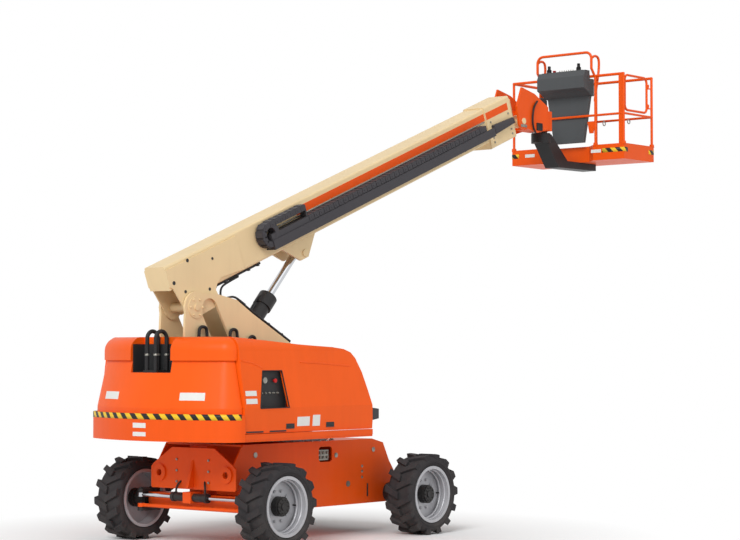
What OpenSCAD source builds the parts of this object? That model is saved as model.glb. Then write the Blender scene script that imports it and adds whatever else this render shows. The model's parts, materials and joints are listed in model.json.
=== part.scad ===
// Telescopic boom lift: a four-wheeled chassis, a slewing turntable with gull-wing hoods, a boom of
// three nested sections raised by one cylinder, and a railed platform on a rotator.
// Millimetres. +X is forward, towards the platform, +Y is left and +Z is up.
// The origin is on the ground under the slewing axis.

/* [Wheels] */
// Distance between the axles
wheelbase = 2490; // [2440:5:2540]
// Distance between the tyre centres of one axle
track = 2134; // [2100:2:2200]
// Tyre diameter over the lugs
tyre_d = 920; // [890:2:930]
// Tyre width
tyre_w = 355; // [330:5:370]
// Rim diameter at the bead
rim_d = 630; // [580:2:650]
// Hub diameter
hub_d = 210; // [180:2:230]
// Distance of each kingpin from the centre plane
kingpin_y = 760; // [745:1:770]
// Length of the steering arms
steer_arm = 200; // [180:2:210]

/* [Chassis] */
// Half width over the chassis side plates
chassis_half_w = 580; // [560:2:585]
// Height of the chassis deck
chassis_top = 1090; // [1070:2:1100]
// Height of the chassis floor
chassis_low = 355; // [340:1:365]
// Overhang of the end plates past the axles
chassis_over = 145; // [135:1:155]
// Plate thickness of the chassis
chassis_plate = 20; // [15:1:25]
// Radius of the tie-down eyes
tie_eye_r = 38; // [34:1:42]

/* [Turntable] */
// Height of the underside of the turntable
deck_z = 1150; // [1130:2:1170]
// Radius of the tail about the slewing axis
tail_r = 2200; // [2150:5:2250]
// Half width of the bodywork
body_half_w = 1100; // [1080:2:1120]
// Radius of the rear corners in plan
corner_r = 300; // [290:2:320]
// Height of the counterweight
counterweight_h = 280; // [250:2:300]
// Height of the side sills
sill_h = 80; // [70:2:90]
// Height of the cover's top above the ground
cover_top = 2250; // [2230:2:2270]
// Wall thickness of the hoods
hood_wall = 25; // [15:1:30]
// Gap at the seams between covers
seam = 5; // [5:1:8]

/* [Boom] */
// Boom angle above level as it stands
boom_angle = 21.1; // [15:0.1:25]
// Boom pivot, forward of the slewing axis
pivot_x = -1570; // [-1600:5:-1540]
// Boom pivot, above the ground
pivot_z = 2570; // [2550:5:2590]
// Width of the base section
boom_w = 300; // [290:2:310]
// Depth of the base section
boom_h = 448; // [440:2:460]
// Height of the base section's underside over the pivot, square to the boom
boom_low = 102; // [95:1:110]
// Rear end of the base section, behind the pivot
boom_rear = 260; // [240:5:280]
// Front end of the base section, ahead of the pivot
boom_front = 6410; // [6350:5:6450]
// Wall thickness of the boom sections
boom_wall = 12; // [10:1:14]
// Gap between one boom section and the next
boom_gap = 12; // [10:1:14]
// Diameter of the lift cylinder barrel
lift_barrel_d = 190; // [170:2:200]
// Diameter of the lift cylinder rod
lift_rod_d = 90; // [80:2:100]

/* [Platform] */
// Width of the platform across the machine
platform_w = 1830; // [1780:5:1860]
// Depth of the platform along the boom
platform_d = 740; // [720:5:760]
// Distance of the platform's rear rail from the slewing axis
platform_x = 5810; // [5790:5:5830]
// Height of the platform floor
floor_z = 4720; // [4700:5:4740]
// Height of the top rail over the floor
rail_h = 1100; // [1080:5:1120]
// Height of the toe boards
toe_h = 150; // [130:5:160]
// Diameter of the rail tubes
rail_d = 38; // [34:1:42]

/* [Hidden] */
$fn = 48;
fit = 0.3;          // clearance at pins, rods and bores
run = 5;            // clearance between pieces that pass each other

orange = [0.87, 0.35, 0.12];
cream = [0.89, 0.79, 0.62];
black = [0.10, 0.10, 0.11];
dark = [0.30, 0.31, 0.30];
rubber = [0.20, 0.17, 0.18];
silver = [0.55, 0.56, 0.60];
chrome = [0.75, 0.76, 0.78];

axle_x = wheelbase / 2;
axle_z = tyre_d / 2;
chassis_end = axle_x + chassis_over;
wheel_y = track / 2;
rim_r = rim_d / 2;
hub_r = hub_d / 2;
hub_in = 60;        // inner end of the hub, inboard of the tyre's centre plane
hub_out = 95;       // outer end of the hub
spindle_r = 85;
lug_h = 32;         // height of the tyre lugs
lugs = 14;          // lugs on each half of the tread

deck_t = 20;
deck_top = deck_z + deck_t;
sill_top = deck_z + sill_h;
weight_top = deck_z + counterweight_h;
corner_x = -sqrt(pow(tail_r - corner_r, 2) - pow(body_half_w - corner_r, 2));
corner_y = body_half_w - corner_r;
seam_x = corner_x - 32;
slew_r = 520;

// Bodywork profile: insets from the widest line, and heights
cover_in_low = 45;
cover_knee_z = 1500;
cover_in_high = 150;
lip_z = 2000;
lip_out = 30;
shoulder_r = 150;

// Hoods
hood_hinge_y = 415;
hood_hinge_z = 2080;
hood_inner_y = 425;
hood_z = sill_top + seam;
hood_x = seam_x + seam;
hinge_pin_r = 10;
hood_hinges = [seam_x + 305, -450];
hood_front = 350;

// Boom sections: width, depth, rear end and front end, along the boom from the pivot
mid_w = boom_w - 2 * (boom_wall + boom_gap);
mid_h = boom_h - 2 * (boom_wall + boom_gap);
fly_w = mid_w - 2 * (boom_wall + boom_gap);
fly_h = mid_h - 2 * (boom_wall + boom_gap);
boom_mid_n = boom_low + boom_h / 2;
mid_rear = 150;
mid_front = boom_front + 60;
fly_rear = 300;
fly_front = mid_front + 50;
nose_s = boom_front + 170;
nose_n = 170;
nose_pin_r = 40;
collar_len = 570;
collar_t = 15;
collar_drop = 90;
pad_len = 200;
pivot_pin_r = 50;
neck_t = 15;
upright_in = boom_w / 2 + neck_t + run;
upright_t = 30;
upright_out = upright_in + upright_t;

// Lift cylinder: lug on the boom (along and square to it) and foot on the turntable
lug_s = 1937;
lug_n = -50;
foot_x = -1310;
foot_z = 1500;
lug_x = pivot_x + lug_s * cos(boom_angle) - lug_n * sin(boom_angle);
lug_z = pivot_z + lug_s * sin(boom_angle) + lug_n * cos(boom_angle);
lift_len = norm([lug_x - foot_x, lug_z - foot_z]);
lift_angle = atan2(lug_z - foot_z, lug_x - foot_x);
lift_barrel_len = 1640;
lift_pin_r = 40;
eye_r = 45;
eye_half_w = 40;

// Platform end
nose_x = pivot_x + nose_s * cos(boom_angle) - nose_n * sin(boom_angle);
nose_z = pivot_z + nose_s * sin(boom_angle) + nose_n * cos(boom_angle);
cheek_in = boom_w / 2 + collar_t + 15;
cheek_t = 25;
rotor_x = platform_x - 620;
rotor_r = 85;
rotor_low = floor_z + 280;
rotor_high = floor_z + 720;
platform_front = platform_x + platform_d;
rail_r = rail_d / 2;
rail_z = floor_z + rail_h - rail_r;
mid_rail_z = floor_z + 550;
gate_r = 16;
gate_hinge = [platform_front - 80, -platform_w / 2 + 35];
gate_pin_r = 8;
gate_low = mid_rail_z + 50;
gate_high = rail_z - 10;

// Shared shapes

module rounded_rect(w, h, r) {
    square([w - 2 * r, h], center = true);
    square([w, h - 2 * r], center = true);
    for (x = [-1, 1], y = [-1, 1])
        translate([x * (w / 2 - r), y * (h / 2 - r)]) circle(r = r);
}

// Plate cut from an outline in the XZ plane, between two values of Y
module plate_xz(y0, y1) {
    translate([0, y1, 0]) rotate([90, 0, 0]) linear_extrude(y1 - y0) children();
}

// Bar with an outline in the YZ plane, between two values of X
module bar_yz(x0, x1) {
    translate([x0, 0, 0]) rotate([90, 0, 90]) linear_extrude(x1 - x0) children();
}

module rod(a, b, r) {
    d = b - a;
    len = norm(d);
    translate(a) rotate([0, acos(d[2] / len), atan2(d[1], d[0])]) cylinder(h = len, r = r);
}

// Round bar along Y, centred on the centre plane
module cross_pin(x, z, half, r) {
    translate([x, half, z]) rotate([90, 0, 0]) cylinder(h = 2 * half, r = r);
}

module mirrored() {
    children();
    mirror([0, 1, 0]) children();
}

module at_boom() {
    translate([pivot_x, 0, pivot_z]) rotate([0, -boom_angle, 0]) children();
}

module at_lift() {
    translate([foot_x, 0, foot_z]) rotate([0, -lift_angle, 0]) children();
}

// A wheel's centre, with +Y pointing out of the machine
module at_wheel(x, side) {
    translate([x, side * wheel_y, axle_z]) mirror([0, side > 0 ? 0 : 1, 0]) children();
}

module revolve_y() {
    rotate([-90, 0, 0]) rotate_extrude() children();
}

// Chassis

module chassis_side() {
    drive_hole_r = 110 + fit;
    difference() {
        polygon([
            [-chassis_end, 600], [-chassis_end, chassis_top - 230], [-chassis_end + 150, chassis_top],
            [chassis_end - 450, chassis_top], [chassis_end - 250, chassis_top - 50],
            [chassis_end - 140, chassis_top - 260], [chassis_end, 640], [chassis_end, 480],
            [chassis_end - 50, chassis_low], [-axle_x + 485, chassis_low], [-axle_x + 365, 600]
        ]);
        translate([axle_x, axle_z]) circle(r = drive_hole_r);
        translate([120, 940]) rounded_rect(230, 170, 40);
    }
}

module end_plate() {
    polygon([
        [-560, 480], [560, 480], [640, 620], [640, 830], [600, 870], [320, chassis_top - 40],
        [-320, chassis_top - 40], [-600, 870], [-640, 830], [-640, 620]
    ]);
}

module chassis_frame() {
    inner = chassis_half_w - chassis_plate;
    eye_y = 500;
    boss_t = 20;
    color(orange) {
        mirrored() plate_xz(inner, chassis_half_w) chassis_side();
        // deck and floor
        translate([-chassis_end + 150, -inner, chassis_top - chassis_plate])
            cube([2 * chassis_end - 600, 2 * inner, chassis_plate]);
        // sloping cover at the drive end
        plate_xz(-inner, inner) polygon([
            [chassis_end - 460, chassis_top], [chassis_end - 450, chassis_top],
            [chassis_end - 250, chassis_top - 50], [chassis_end - 140, chassis_top - 260], [chassis_end, 640],
            [chassis_end, 606], [chassis_end - 158, chassis_top - 268], [chassis_end - 263, chassis_top - 67],
            [chassis_end - 460, chassis_top - 20]
        ]);
        translate([-axle_x + 485, -inner, chassis_low])
            cube([axle_x + 300, 2 * inner, chassis_plate]);
        // bulkhead ahead of the steer axle
        translate([-axle_x + 485, -inner, chassis_low])
            cube([chassis_plate, 2 * inner, chassis_top - chassis_low - chassis_plate]);
        // end plates with their tie-down eyes
        for (side = [-1, 1]) {
            eye_z = side > 0 ? 560 : 770;
            difference() {
                union() {
                    bar_yz(side * chassis_end - (side > 0 ? 0 : chassis_plate),
                           side * chassis_end + (side > 0 ? chassis_plate : 0))
                        intersection() {
                            end_plate();
                            translate([-700, side > 0 ? 480 : 600]) square([1400, side > 0 ? 160 : 700]);
                        }
                    for (y = [-eye_y, eye_y])
                        translate([side * (chassis_end + chassis_plate), y, eye_z])
                            rotate([0, side * 90, 0]) cylinder(h = boss_t, r = (side > 0 ? 2 : 2.4) * tie_eye_r);
                }
                for (y = [-eye_y, eye_y])
                    translate([side * (chassis_end - 10), y, eye_z])
                        rotate([0, side * 90, 0]) cylinder(h = 80, r = tie_eye_r);
            }
        }
        // gusset in the middle of the steer end
        plate_xz(-15, 15) polygon([
            [-chassis_end - chassis_plate, 920], [-chassis_end - chassis_plate, 620],
            [-chassis_end - 110, 620]
        ]);
    }
}

module steer_axle() {
    beam_half = 80;
    color(orange) {
        difference() {
            union() {
                translate([-axle_x - beam_half, -720, 380]) cube([2 * beam_half, 1440, 160]);
                for (y = [-kingpin_y, kingpin_y])
                    translate([-axle_x, y, 382]) cylinder(h = 158, r = 62);
                // saddle up to the frame
                translate([-axle_x - beam_half, -130, 540]) cube([2 * beam_half, 260, chassis_top - chassis_plate - 540]);
                // bracket that carries the steer cylinder
                translate([-axle_x - steer_arm - 60, -60, 455]) cube([steer_arm, 120, 120]);
            }
            for (y = [-kingpin_y, kingpin_y])
                translate([-axle_x, y, 300]) cylinder(h = 400, r = 32 + fit);
            translate([-axle_x - steer_arm, 100, 515]) rotate([90, 0, 0])
                cylinder(h = 200, r = 45 + fit);
        }
    }
}

module drive_axle() {
    color(black) {
        cross_pin(axle_x, axle_z, 790, 110);
        mirrored() translate([axle_x, wheel_y - hub_in - fit, axle_z]) rotate([90, 0, 0])
            cylinder(h = wheel_y - hub_in - fit - 780, r = spindle_r);
    }
}

module slew_ring() {
    color(dark) translate([0, 0, chassis_top]) difference() {
        cylinder(h = deck_z - chassis_top - fit, r = slew_r, $fn = 96);
        translate([0, 0, -1]) cylinder(h = deck_z, r = slew_r - 120, $fn = 96);
    }
}

module steer_barrel() {
    color(black) translate([-axle_x - steer_arm, 0, 515]) rotate([90, 0, 0]) difference() {
        union() {
            cylinder(h = 520, r = 45, center = true);
            for (y = [-1, 1]) translate([0, 0, y * 245]) cylinder(h = 40, r = 52, center = true);
        }
        cylinder(h = 600, r = 22 + fit, center = true);
    }
}

module steer_rod() {
    color(chrome) {
        cross_pin(-axle_x - steer_arm, 515, kingpin_y - 20, 22);
        for (y = [-kingpin_y, kingpin_y])
            translate([-axle_x - steer_arm, y, 493]) cylinder(h = 44, r = 38);
    }
}

module tie_rod() {
    color(orange) translate([-axle_x - steer_arm, 0, 0]) difference() {
        union() {
            translate([0, kingpin_y - 20, 400]) rotate([90, 0, 0])
                cylinder(h = 2 * kingpin_y - 40, r = 20);
            for (y = [-kingpin_y, kingpin_y]) translate([0, y, 380]) cylinder(h = 40, r = 38);
        }
        for (y = [-kingpin_y, kingpin_y]) translate([0, y, 300]) cylinder(h = 200, r = 15 + fit);
    }
}

// Steering arm: a bar from the kingpin back to its rod, with round ends
module steer_arm_plate(z, t) {
    translate([0, 0, z]) linear_extrude(t) {
        circle(r = 70);
        translate([-steer_arm, 0]) circle(r = 40);
        polygon([[0, -60], [0, 60], [-steer_arm, 38], [-steer_arm, -38]]);
    }
}

// Left knuckle: a yoke round the axle's end, with its spindle
module knuckle() {
    out = wheel_y - kingpin_y - hub_in - fit;
    color(black) translate([-axle_x, kingpin_y, 0]) {
        steer_arm_plate(545, 35);
        steer_arm_plate(337, 35);
        translate([0, 0, 337]) cylinder(h = 243, r = 32);
        translate([-70, 0, 545]) cube([140, 110, 35]);
        translate([-70, 0, 337]) cube([140, 110, 35]);
        translate([-70, 80, 337]) cube([140, 30, 243]);
        translate([0, 100, axle_z]) rotate([-90, 0, 0]) cylinder(h = out - 100, r = spindle_r);
        translate([-steer_arm, 0, 372 - 1]) cylinder(h = 60, r = 15);
        translate([-steer_arm, 0, 580 - 1]) cylinder(h = 15, r = 22);
    }
}

// Wheels

module tyre_section() {
    shoulder = 55;
    half = tyre_w / 2;
    r = tyre_d / 2 - lug_h;
    bead = 25;
    translate([rim_r, -half + bead]) square([r - rim_r - shoulder, tyre_w - 2 * bead]);
    translate([rim_r + 45, -half]) square([r - rim_r - shoulder - 45, tyre_w]);
    translate([rim_r + 20, -half + shoulder]) square([r - rim_r - 20, tyre_w - 2 * shoulder]);
    for (y = [-1, 1]) translate([r - shoulder, y * (half - shoulder)]) circle(r = shoulder);
}

// One slanting lug of the tread, standing on the carcass
module tyre_lug() {
    w = 74;
    skew = 84;
    reach = tyre_w / 2 - 6;
    translate([0, 0, tyre_d / 2 - lug_h - 45]) linear_extrude(lug_h + 60)
        polygon([[-w / 2, -12], [w / 2, -12], [w / 2 + skew, reach], [-w / 2 + skew, reach]]);
}

module tyre(x, side) {
    color(rubber) at_wheel(x, side) {
        revolve_y() tyre_section();
        intersection() {
            for (i = [0 : lugs - 1], way = [0, 1])
                rotate([0, (i + way / 2) * 360 / lugs, 0]) mirror([0, way, 0]) tyre_lug();
            rotate([90, 0, 0]) cylinder(h = tyre_w, r = tyre_d / 2, center = true, $fn = 96);
        }
    }
}

module rim(x, side) {
    half = tyre_w / 2 - 25;
    flange = 12;
    color(silver) at_wheel(x, side) revolve_y() {
        translate([rim_r - 25, -half - flange]) square([25 - 1.2, 2 * half + 2 * flange]);
        for (y = [-half - flange, half + fit])
            translate([rim_r - 25, y]) square([33, flange - fit]);
        translate([hub_r + fit, 5]) square([rim_r - hub_r - 20, 16]);
    }
}

module hub(x, side) {
    color(black) at_wheel(x, side) revolve_y() {
        translate([0, -hub_in]) square([hub_r - 15, hub_in + hub_out + 20]);
        translate([0, -hub_in]) square([hub_r, hub_in + hub_out]);
    }
}

// Turntable

module tail_wedge() {
    far = 1.45;
    polygon([[0, 0], far * [corner_x, corner_y], far * [corner_x, -corner_y]]);
}

module turntable_frame() {
    wall_in = 380;
    wall_out = 395;
    front_x = hood_front - 20;
    pin_z = hood_hinge_z;
    color(orange) {
        // deck, with a round nose over the slew ring
        translate([0, 0, deck_z]) linear_extrude(deck_t) {
            translate([seam_x, -body_half_w + 10]) square([front_x - seam_x, 2 * body_half_w - 20]);
            circle(r = slew_r + 30);
        }
        // sills
        mirrored() translate([seam_x + 5, body_half_w - 70, deck_top])
            cube([front_x - seam_x - 5, 65, sill_h - deck_t]);
        // inner walls that carry the hood hinges
        mirrored() {
            difference() {
                plate_xz(wall_in, wall_out) polygon([
                    [seam_x + 5, deck_top], [seam_x + 5, 2150], [-400, 2100], [-60, 1700], [100, sill_top],
                    [100, deck_top]
                ]);
                // notches that the hood's hinge lugs swing into
                for (x = hood_hinges) translate([x + 19, wall_in - 5, pin_z - 45]) cube([42, 40, 300]);
            }
            for (x = hood_hinges) {
                translate([x, wall_out, pin_z - 30]) cube([20, hood_hinge_y - wall_out + 15, 50]);
                translate([x, hood_hinge_y, pin_z]) rotate([0, 90, 0]) cylinder(h = 60, r = hinge_pin_r);
            }
            // foot of the lift cylinder
            plate_xz(120, 150) polygon([
                [foot_x - 260, deck_top], [foot_x + 260, deck_top], [foot_x + 90, foot_z + 60],
                [foot_x - 90, foot_z + 60]
            ]);
        }
        cross_pin(foot_x, foot_z, 165, lift_pin_r);
    }
}

module counterweight() {
    color(orange) translate([0, 0, deck_z]) intersection() {
        linear_extrude(counterweight_h) {
            intersection() {
                circle(r = tail_r, $fn = 128);
                tail_wedge();
            }
            for (y = [-corner_y, corner_y]) translate([corner_x, y]) circle(r = corner_r);
        }
        translate([-3000, -3000, 0]) cube([3000 + seam_x, 6000, counterweight_h]);
    }
}

// Cover profile from the middle of the body out to its face
module cover_profile(inner, reach, z0) {
    cap = reach - cover_in_high + lip_out;
    polygon([
        [inner, z0], [reach - cover_in_low, z0], [reach - cover_in_low, cover_knee_z],
        [reach - cover_in_high, lip_z], [inner, lip_z]
    ]);
    translate([inner, lip_z]) square([cap - inner, cover_top - lip_z - shoulder_r]);
    translate([inner, lip_z]) square([cap - inner - shoulder_r, cover_top - lip_z]);
    translate([cap - shoulder_r, cover_top - shoulder_r]) intersection() {
        circle(r = shoulder_r);
        square(shoulder_r);
    }
}

module rear_cover() {
    notch_half = 300;
    tail_half = atan2(corner_y, -corner_x) - 0.3;
    notch_z = 1870;
    color(orange) difference() {
        intersection() {
            union() {
                rotate([0, 0, 180 - tail_half]) rotate_extrude(angle = 2 * tail_half, $fn = 128)
                    cover_profile(-seam_x - 200, tail_r, weight_top + fit);
                mirrored() translate([corner_x, corner_y, 0]) rotate([0, 0, 90])
                    rotate_extrude(angle = 105 - tail_half) cover_profile(0, corner_r - 0.3, weight_top + fit);
            }
            translate([-3000, -3000, 0]) cube([3000 + seam_x, 6000, 3000]);
        }
        translate([-3000, -notch_half, notch_z]) cube([3350 - tail_r, 2 * notch_half, 1000]);
    }
}

// Tower plate on one side of the boom
module upright_outline() {
    round_r = 170;
    polygon(concat(
        [[seam_x + 35, deck_top], [seam_x + 15, 2300]],
        [for (a = [200 : -20 : 60]) [pivot_x + round_r * cos(a), pivot_z + round_r * sin(a)]],
        [
            [-1250, 2720], [-930, 2660], [-690, 2520], [-330, 2335], [-40, 2185], [60, 1700],
            [60, deck_top]
        ]
    ));
}

module upright(side) {
    color(cream) mirror([0, side > 0 ? 0 : 1, 0]) difference() {
        union() {
            plate_xz(upright_in, upright_out) upright_outline();
            translate([pivot_x, upright_out + 8, pivot_z]) rotate([90, 0, 0])
                cylinder(h = upright_t, r = 120);
        }
        cross_pin(pivot_x, pivot_z, 400, pivot_pin_r + fit);
        // slanted slot
        plate_xz(0, 400) translate([-1250, 2355]) rotate(-59.7) rounded_rect(690, 250, 124);
    }
}

module pivot_pin() {
    color(cream) {
        cross_pin(pivot_x, pivot_z, upright_out + 8, pivot_pin_r);
        mirrored() translate([pivot_x, upright_out + 20, pivot_z]) rotate([90, 0, 0])
            cylinder(h = 20, r = pivot_pin_r - 15);
    }
}

module engine() {
    color(dark) translate([-1500, 480, deck_top]) cube([1000, body_half_w - 640, 620]);
}

module control_panel() {
    color(dark) translate([seam_x + 195, 115 - body_half_w, deck_top]) cube([560, 120, 760]);
}

module hose_loops() {
    color(black) for (y = [-70, 60]) translate([235 - tail_r, y, 2230]) rotate([90, 0, 0]) {
        rotate_extrude(angle = 180) translate([80, 0]) circle(r = 22);
        for (x = [-80, 80]) translate([x, 0, 0]) rotate([90, 0, 0]) cylinder(h = 360, r = 22);
    }
    color(black) translate([128 - tail_r, -105, 1870]) cube([208, 200, 25]);
}

// Hood shape, drawn in by a wall thickness t

module hood_section(t) {
    z0 = hood_z - t;
    out = body_half_w - t;
    top = cover_top - t;
    r = shoulder_r - t / 2;
    polygon([
        [hood_inner_y - t, z0], [out - 30, z0], [out - 10, cover_knee_z], [out - 100, top - r],
        [hood_inner_y - t, top - r]
    ]);
    translate([hood_inner_y - t, top - r - 1]) square([out - 100 - r - hood_inner_y + t, r + 1]);
    translate([out - 100 - r, top - r]) intersection() {
        circle(r = r);
        translate([0, -1]) square([r, r + 1]);
    }
}

// Nose line of the hood: place behind the front edge, height, and how far t moves it back and down
hood_nose = [
    [0, 1330, 1, 0], [17, 1496, 1, 0], [69, 1664, 1, 0.2], [139, 1865, 1, 0.4], [226, 2021, 0.8, 0.6],
    [295, 2085, 0.5, 0.9], [410, 2122, 0.2, 1], [600, 2143, 0, 1], [850, 2155, 0, 1], [1150, 2172, 0, 1]
];

module hood_side(t) {
    polygon(concat(
        [[hood_x - t, hood_z - t], [hood_front - t, hood_z - t]],
        [for (p = hood_nose) [hood_front - p[0] - t * p[2], p[1] - t * p[3]]],
        [[hood_x - t, cover_top - t]]
    ));
}

module hood_solid(t) {
    intersection() {
        bar_yz(hood_x - t, hood_front + 50) hood_section(t);
        plate_xz(0, 1300) hood_side(t);
    }
}

module hood() {
    difference() {
        union() {
            difference() {
                hood_solid(0);
                hood_solid(hood_wall);
            }
            for (x = hood_hinges) intersection() {
                translate([x + 25, hood_hinge_y - 12, hood_hinge_z - 15]) cube([30, 50, 190]);
                union() {
                    hood_solid(hood_wall / 2);
                    translate([x, hood_hinge_y - 20, hood_hinge_z - 20]) cube([60, 80, 50]);
                }
            }
        }
        for (x = hood_hinges)
            translate([x, hood_hinge_y, hood_hinge_z]) rotate([0, 90, 0])
                cylinder(h = 100, r = hinge_pin_r + fit);
    }
}

module hood_left() {
    color(orange) hood();
}

module hood_right() {
    color(orange) difference() {
        mirror([0, 1, 0]) hood();
        plate_xz(-body_half_w - 200, 100 - body_half_w) polygon([[-1510, 1500], [-1060, 1500], [-1120, 1890], [-1420, 1890]]);
    }
}

module hood_bumper() {
    color(black) plate_xz(40 - body_half_w, 140 - body_half_w) translate([hood_front + fit, 0]) polygon([
        [0, 1325], [0, 1330], [-14, 1470], [130, 1452], [130, 1343]
    ]);
}

// Boom

module boom_section(s0, s1, w, h) {
    bar_yz(s0, s1) translate([0, boom_mid_n]) difference() {
        rounded_rect(w, h, 25);
        rounded_rect(w - 2 * boom_wall, h - 2 * boom_wall, 14);
    }
}

// Wear pads in the gap between a section and the one inside it
module wear_pads(s0, w, h, gap) {
    t = gap - fit;
    for (side = [-1, 1]) {
        translate([s0, -w / 4, boom_mid_n + side * (h / 2 + t / 2) - t / 2]) cube([pad_len, w / 2, t]);
        translate([s0, side * (w / 2 + t / 2) - t / 2, boom_mid_n - h / 4]) cube([pad_len, t, h / 2]);
    }
}

module neck_outline() {
    difference() {
        union() {
            circle(r = 130);
            polygon([
                [-130, 0], [-220, 290], [-boom_rear, 320], [-boom_rear, boom_low + boom_h - 40],
                [900, boom_low + boom_h - 40], [900, boom_low + 20], [520, boom_low + 60],
                [430, boom_low + 10], [390, 60], [405, 0], [330, -110], [100, -120]
            ]);
        }
        circle(r = pivot_pin_r + fit);
    }
}

module boom_base() {
    step_s = 100;
    lug_in = lift_barrel_d / 2 + 15 + run;
    step_n = boom_low + 180;
    inside = boom_w - 20;
    color(cream) at_boom() {
        // rear end and raised underside behind the pivot
        translate([-boom_rear, -inside / 2, step_n]) cube([boom_wall, inside, boom_h - 190]);
        translate([-boom_rear, -inside / 2, step_n]) cube([boom_rear + step_s + boom_wall, inside, boom_wall]);
        translate([step_s, -inside / 2, boom_low + 2]) cube([boom_wall, inside, 190]);
        difference() {
            union() {
                boom_section(-boom_rear, boom_front, boom_w, boom_h);
                // collar at the mouth
                bar_yz(boom_front - collar_len, boom_front) difference() {
                    translate([0, boom_mid_n - collar_drop / 2 + collar_t / 2])
                        rounded_rect(boom_w + 2 * collar_t, boom_h + collar_drop + collar_t, 25);
                    translate([0, boom_mid_n])
                        rounded_rect(boom_w - 2 * boom_wall, boom_h - 2 * boom_wall, 14);
                }
            }
            // rear underside cut away round the pivot
            translate([-boom_rear - 10, -boom_w, -500])
                cube([boom_rear + 10 + step_s, 2 * boom_w, 500 + boom_low + 180]);
            // slot over the eye of the lift cylinder
            translate([lug_s - 120, -eye_half_w - 10, boom_low - 10])
                cube([420, 2 * eye_half_w + 20, boom_wall + 20]);
        }
        // pads fixed inside the mouth
        wear_pads(boom_front - 20 - pad_len, mid_w + 2 * fit, mid_h + 2 * fit, boom_gap);
        // neck plates down to the pivot
        mirrored() plate_xz(boom_w / 2, boom_w / 2 + neck_t) neck_outline();
        // lug for the lift cylinder
        mirrored() {
            plate_xz(lug_in, lug_in + 30) polygon([
                [lug_s - 350, boom_low + 14], [lug_s - 90, lug_n - 60], [lug_s + 50, lug_n - 60],
                [lug_s + 260, boom_low + 14]
            ]);
            translate([lug_s, lug_in + 45, lug_n]) rotate([90, 0, 0]) cylinder(h = 20, r = 40);
        }
    }
}

// Cable track in its tray on the right of the boom, with the bend at its rear end
module powertrack() {
    low = 190;
    high = 370;
    out = boom_w / 2 + 135;
    s0 = 1200;
    s1 = boom_front - collar_len - 20;
    bend_r = 140;
    link_t = 62;
    color(black) at_boom() {
        translate([s0 + bend_r, -out, low]) cube([s1 - s0 - bend_r, out - boom_w / 2, 14]);
        translate([s0 + bend_r, -out, low]) cube([s1 - s0 - bend_r, 8, 110]);
        translate([s0 + bend_r, 12 - out, low + 10]) cube([s1 - s0 - bend_r - 150, 105, high - low - 10]);
        plate_xz(10 - out, 119 - out) difference() {
            union() {
                translate([s0 + bend_r, high]) circle(r = bend_r);
                translate([s0 + bend_r, high + bend_r - link_t]) square([660, link_t]);
            }
            translate([s0 + bend_r, high]) circle(r = bend_r - link_t);
        }
        translate([1990, 20 - out, high - 2]) cube([20, 90, 120]);
    }
}

// Hose on the front edge of the neck and on along the underside of the boom
module boom_hose() {
    r = 14;
    low = boom_low - r - fit;
    line = [[418, -60], [424, 0], [410, 56], [452, low], [1200, low]];
    color(black) at_boom() for (i = [0 : len(line) - 2]) {
        rod([line[i][0], -122, line[i][1]], [line[i + 1][0], -122, line[i + 1][1]], r);
        if (i > 0) translate([line[i][0], -122, line[i][1]]) sphere(r = r + 0.5);
    }
}

// Hose on the sloping edge of the right tower plate
module tower_hose() {
    r = 16;
    y = -(upright_in + upright_t / 2);
    line = [[-905, 2665], [-678, 2536], [-321, 2352], [-45, 2208]];
    color(black) for (i = [0 : len(line) - 2]) {
        rod([line[i][0], y, line[i][1]], [line[i + 1][0], y, line[i + 1][1]], r);
        if (i > 0) translate([line[i][0], y, line[i][1]]) sphere(r = r + 0.5);
    }
}

module boom_mid() {
    color(cream) at_boom() {
        boom_section(mid_rear, mid_front, mid_w, mid_h);
        wear_pads(mid_rear + 20, mid_w, mid_h, boom_gap);
        wear_pads(mid_front - 20 - pad_len, fly_w + 2 * fit, fly_h + 2 * fit, boom_gap);
    }
}

module boom_fly() {
    color(cream) at_boom() {
        boom_section(fly_rear, fly_front, fly_w, fly_h);
        wear_pads(fly_rear + 20, fly_w, fly_h, boom_gap);
        mirrored() plate_xz(fly_w / 2 - 20, fly_w / 2) union() {
            translate([nose_s, nose_n]) circle(r = 85);
            translate([fly_front - 60, nose_n - 20]) square([nose_s - fly_front + 60, 105]);
        }
        cross_pin(nose_s, nose_n, cheek_in + cheek_t + 10, nose_pin_r);
    }
}

module lift_barrel() {
    color(black) at_lift() difference() {
        union() {
            rotate([0, 90, 0]) cylinder(h = lift_barrel_len, r = lift_barrel_d / 2);
            translate([lift_barrel_len - 160, 0, 0]) rotate([0, 90, 0])
                cylinder(h = 160, r = lift_barrel_d / 2 + 15);
            cross_pin(0, 0, 115, 80);
        }
        cross_pin(0, 0, 200, lift_pin_r + fit);
        translate([120, 0, 0]) rotate([0, 90, 0]) cylinder(h = lift_barrel_len, r = lift_rod_d / 2 + fit);
    }
}

module lift_rod() {
    color(chrome) at_lift() {
        translate([660, 0, 0]) rotate([0, 90, 0]) cylinder(h = lift_len - 680, r = lift_rod_d / 2);
        cross_pin(lift_len, 0, eye_half_w, eye_r);
    }
}

// Platform end

module cheek_outline() {
    difference() {
        union() {
            translate([nose_x, nose_z]) circle(r = 110);
            polygon([
                [nose_x - 40, nose_z + 440], [nose_x + 250, nose_z + 380], [rotor_x - 120, nose_z + 230],
                [rotor_x - 100, rotor_low + 40], [nose_x + 330, rotor_low - 30], [nose_x + 60, nose_z - 90],
                [nose_x - 110, nose_z], [nose_x - 150, nose_z + 180]
            ]);
        }
        translate([nose_x, nose_z]) circle(r = nose_pin_r + fit);
    }
}

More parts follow.
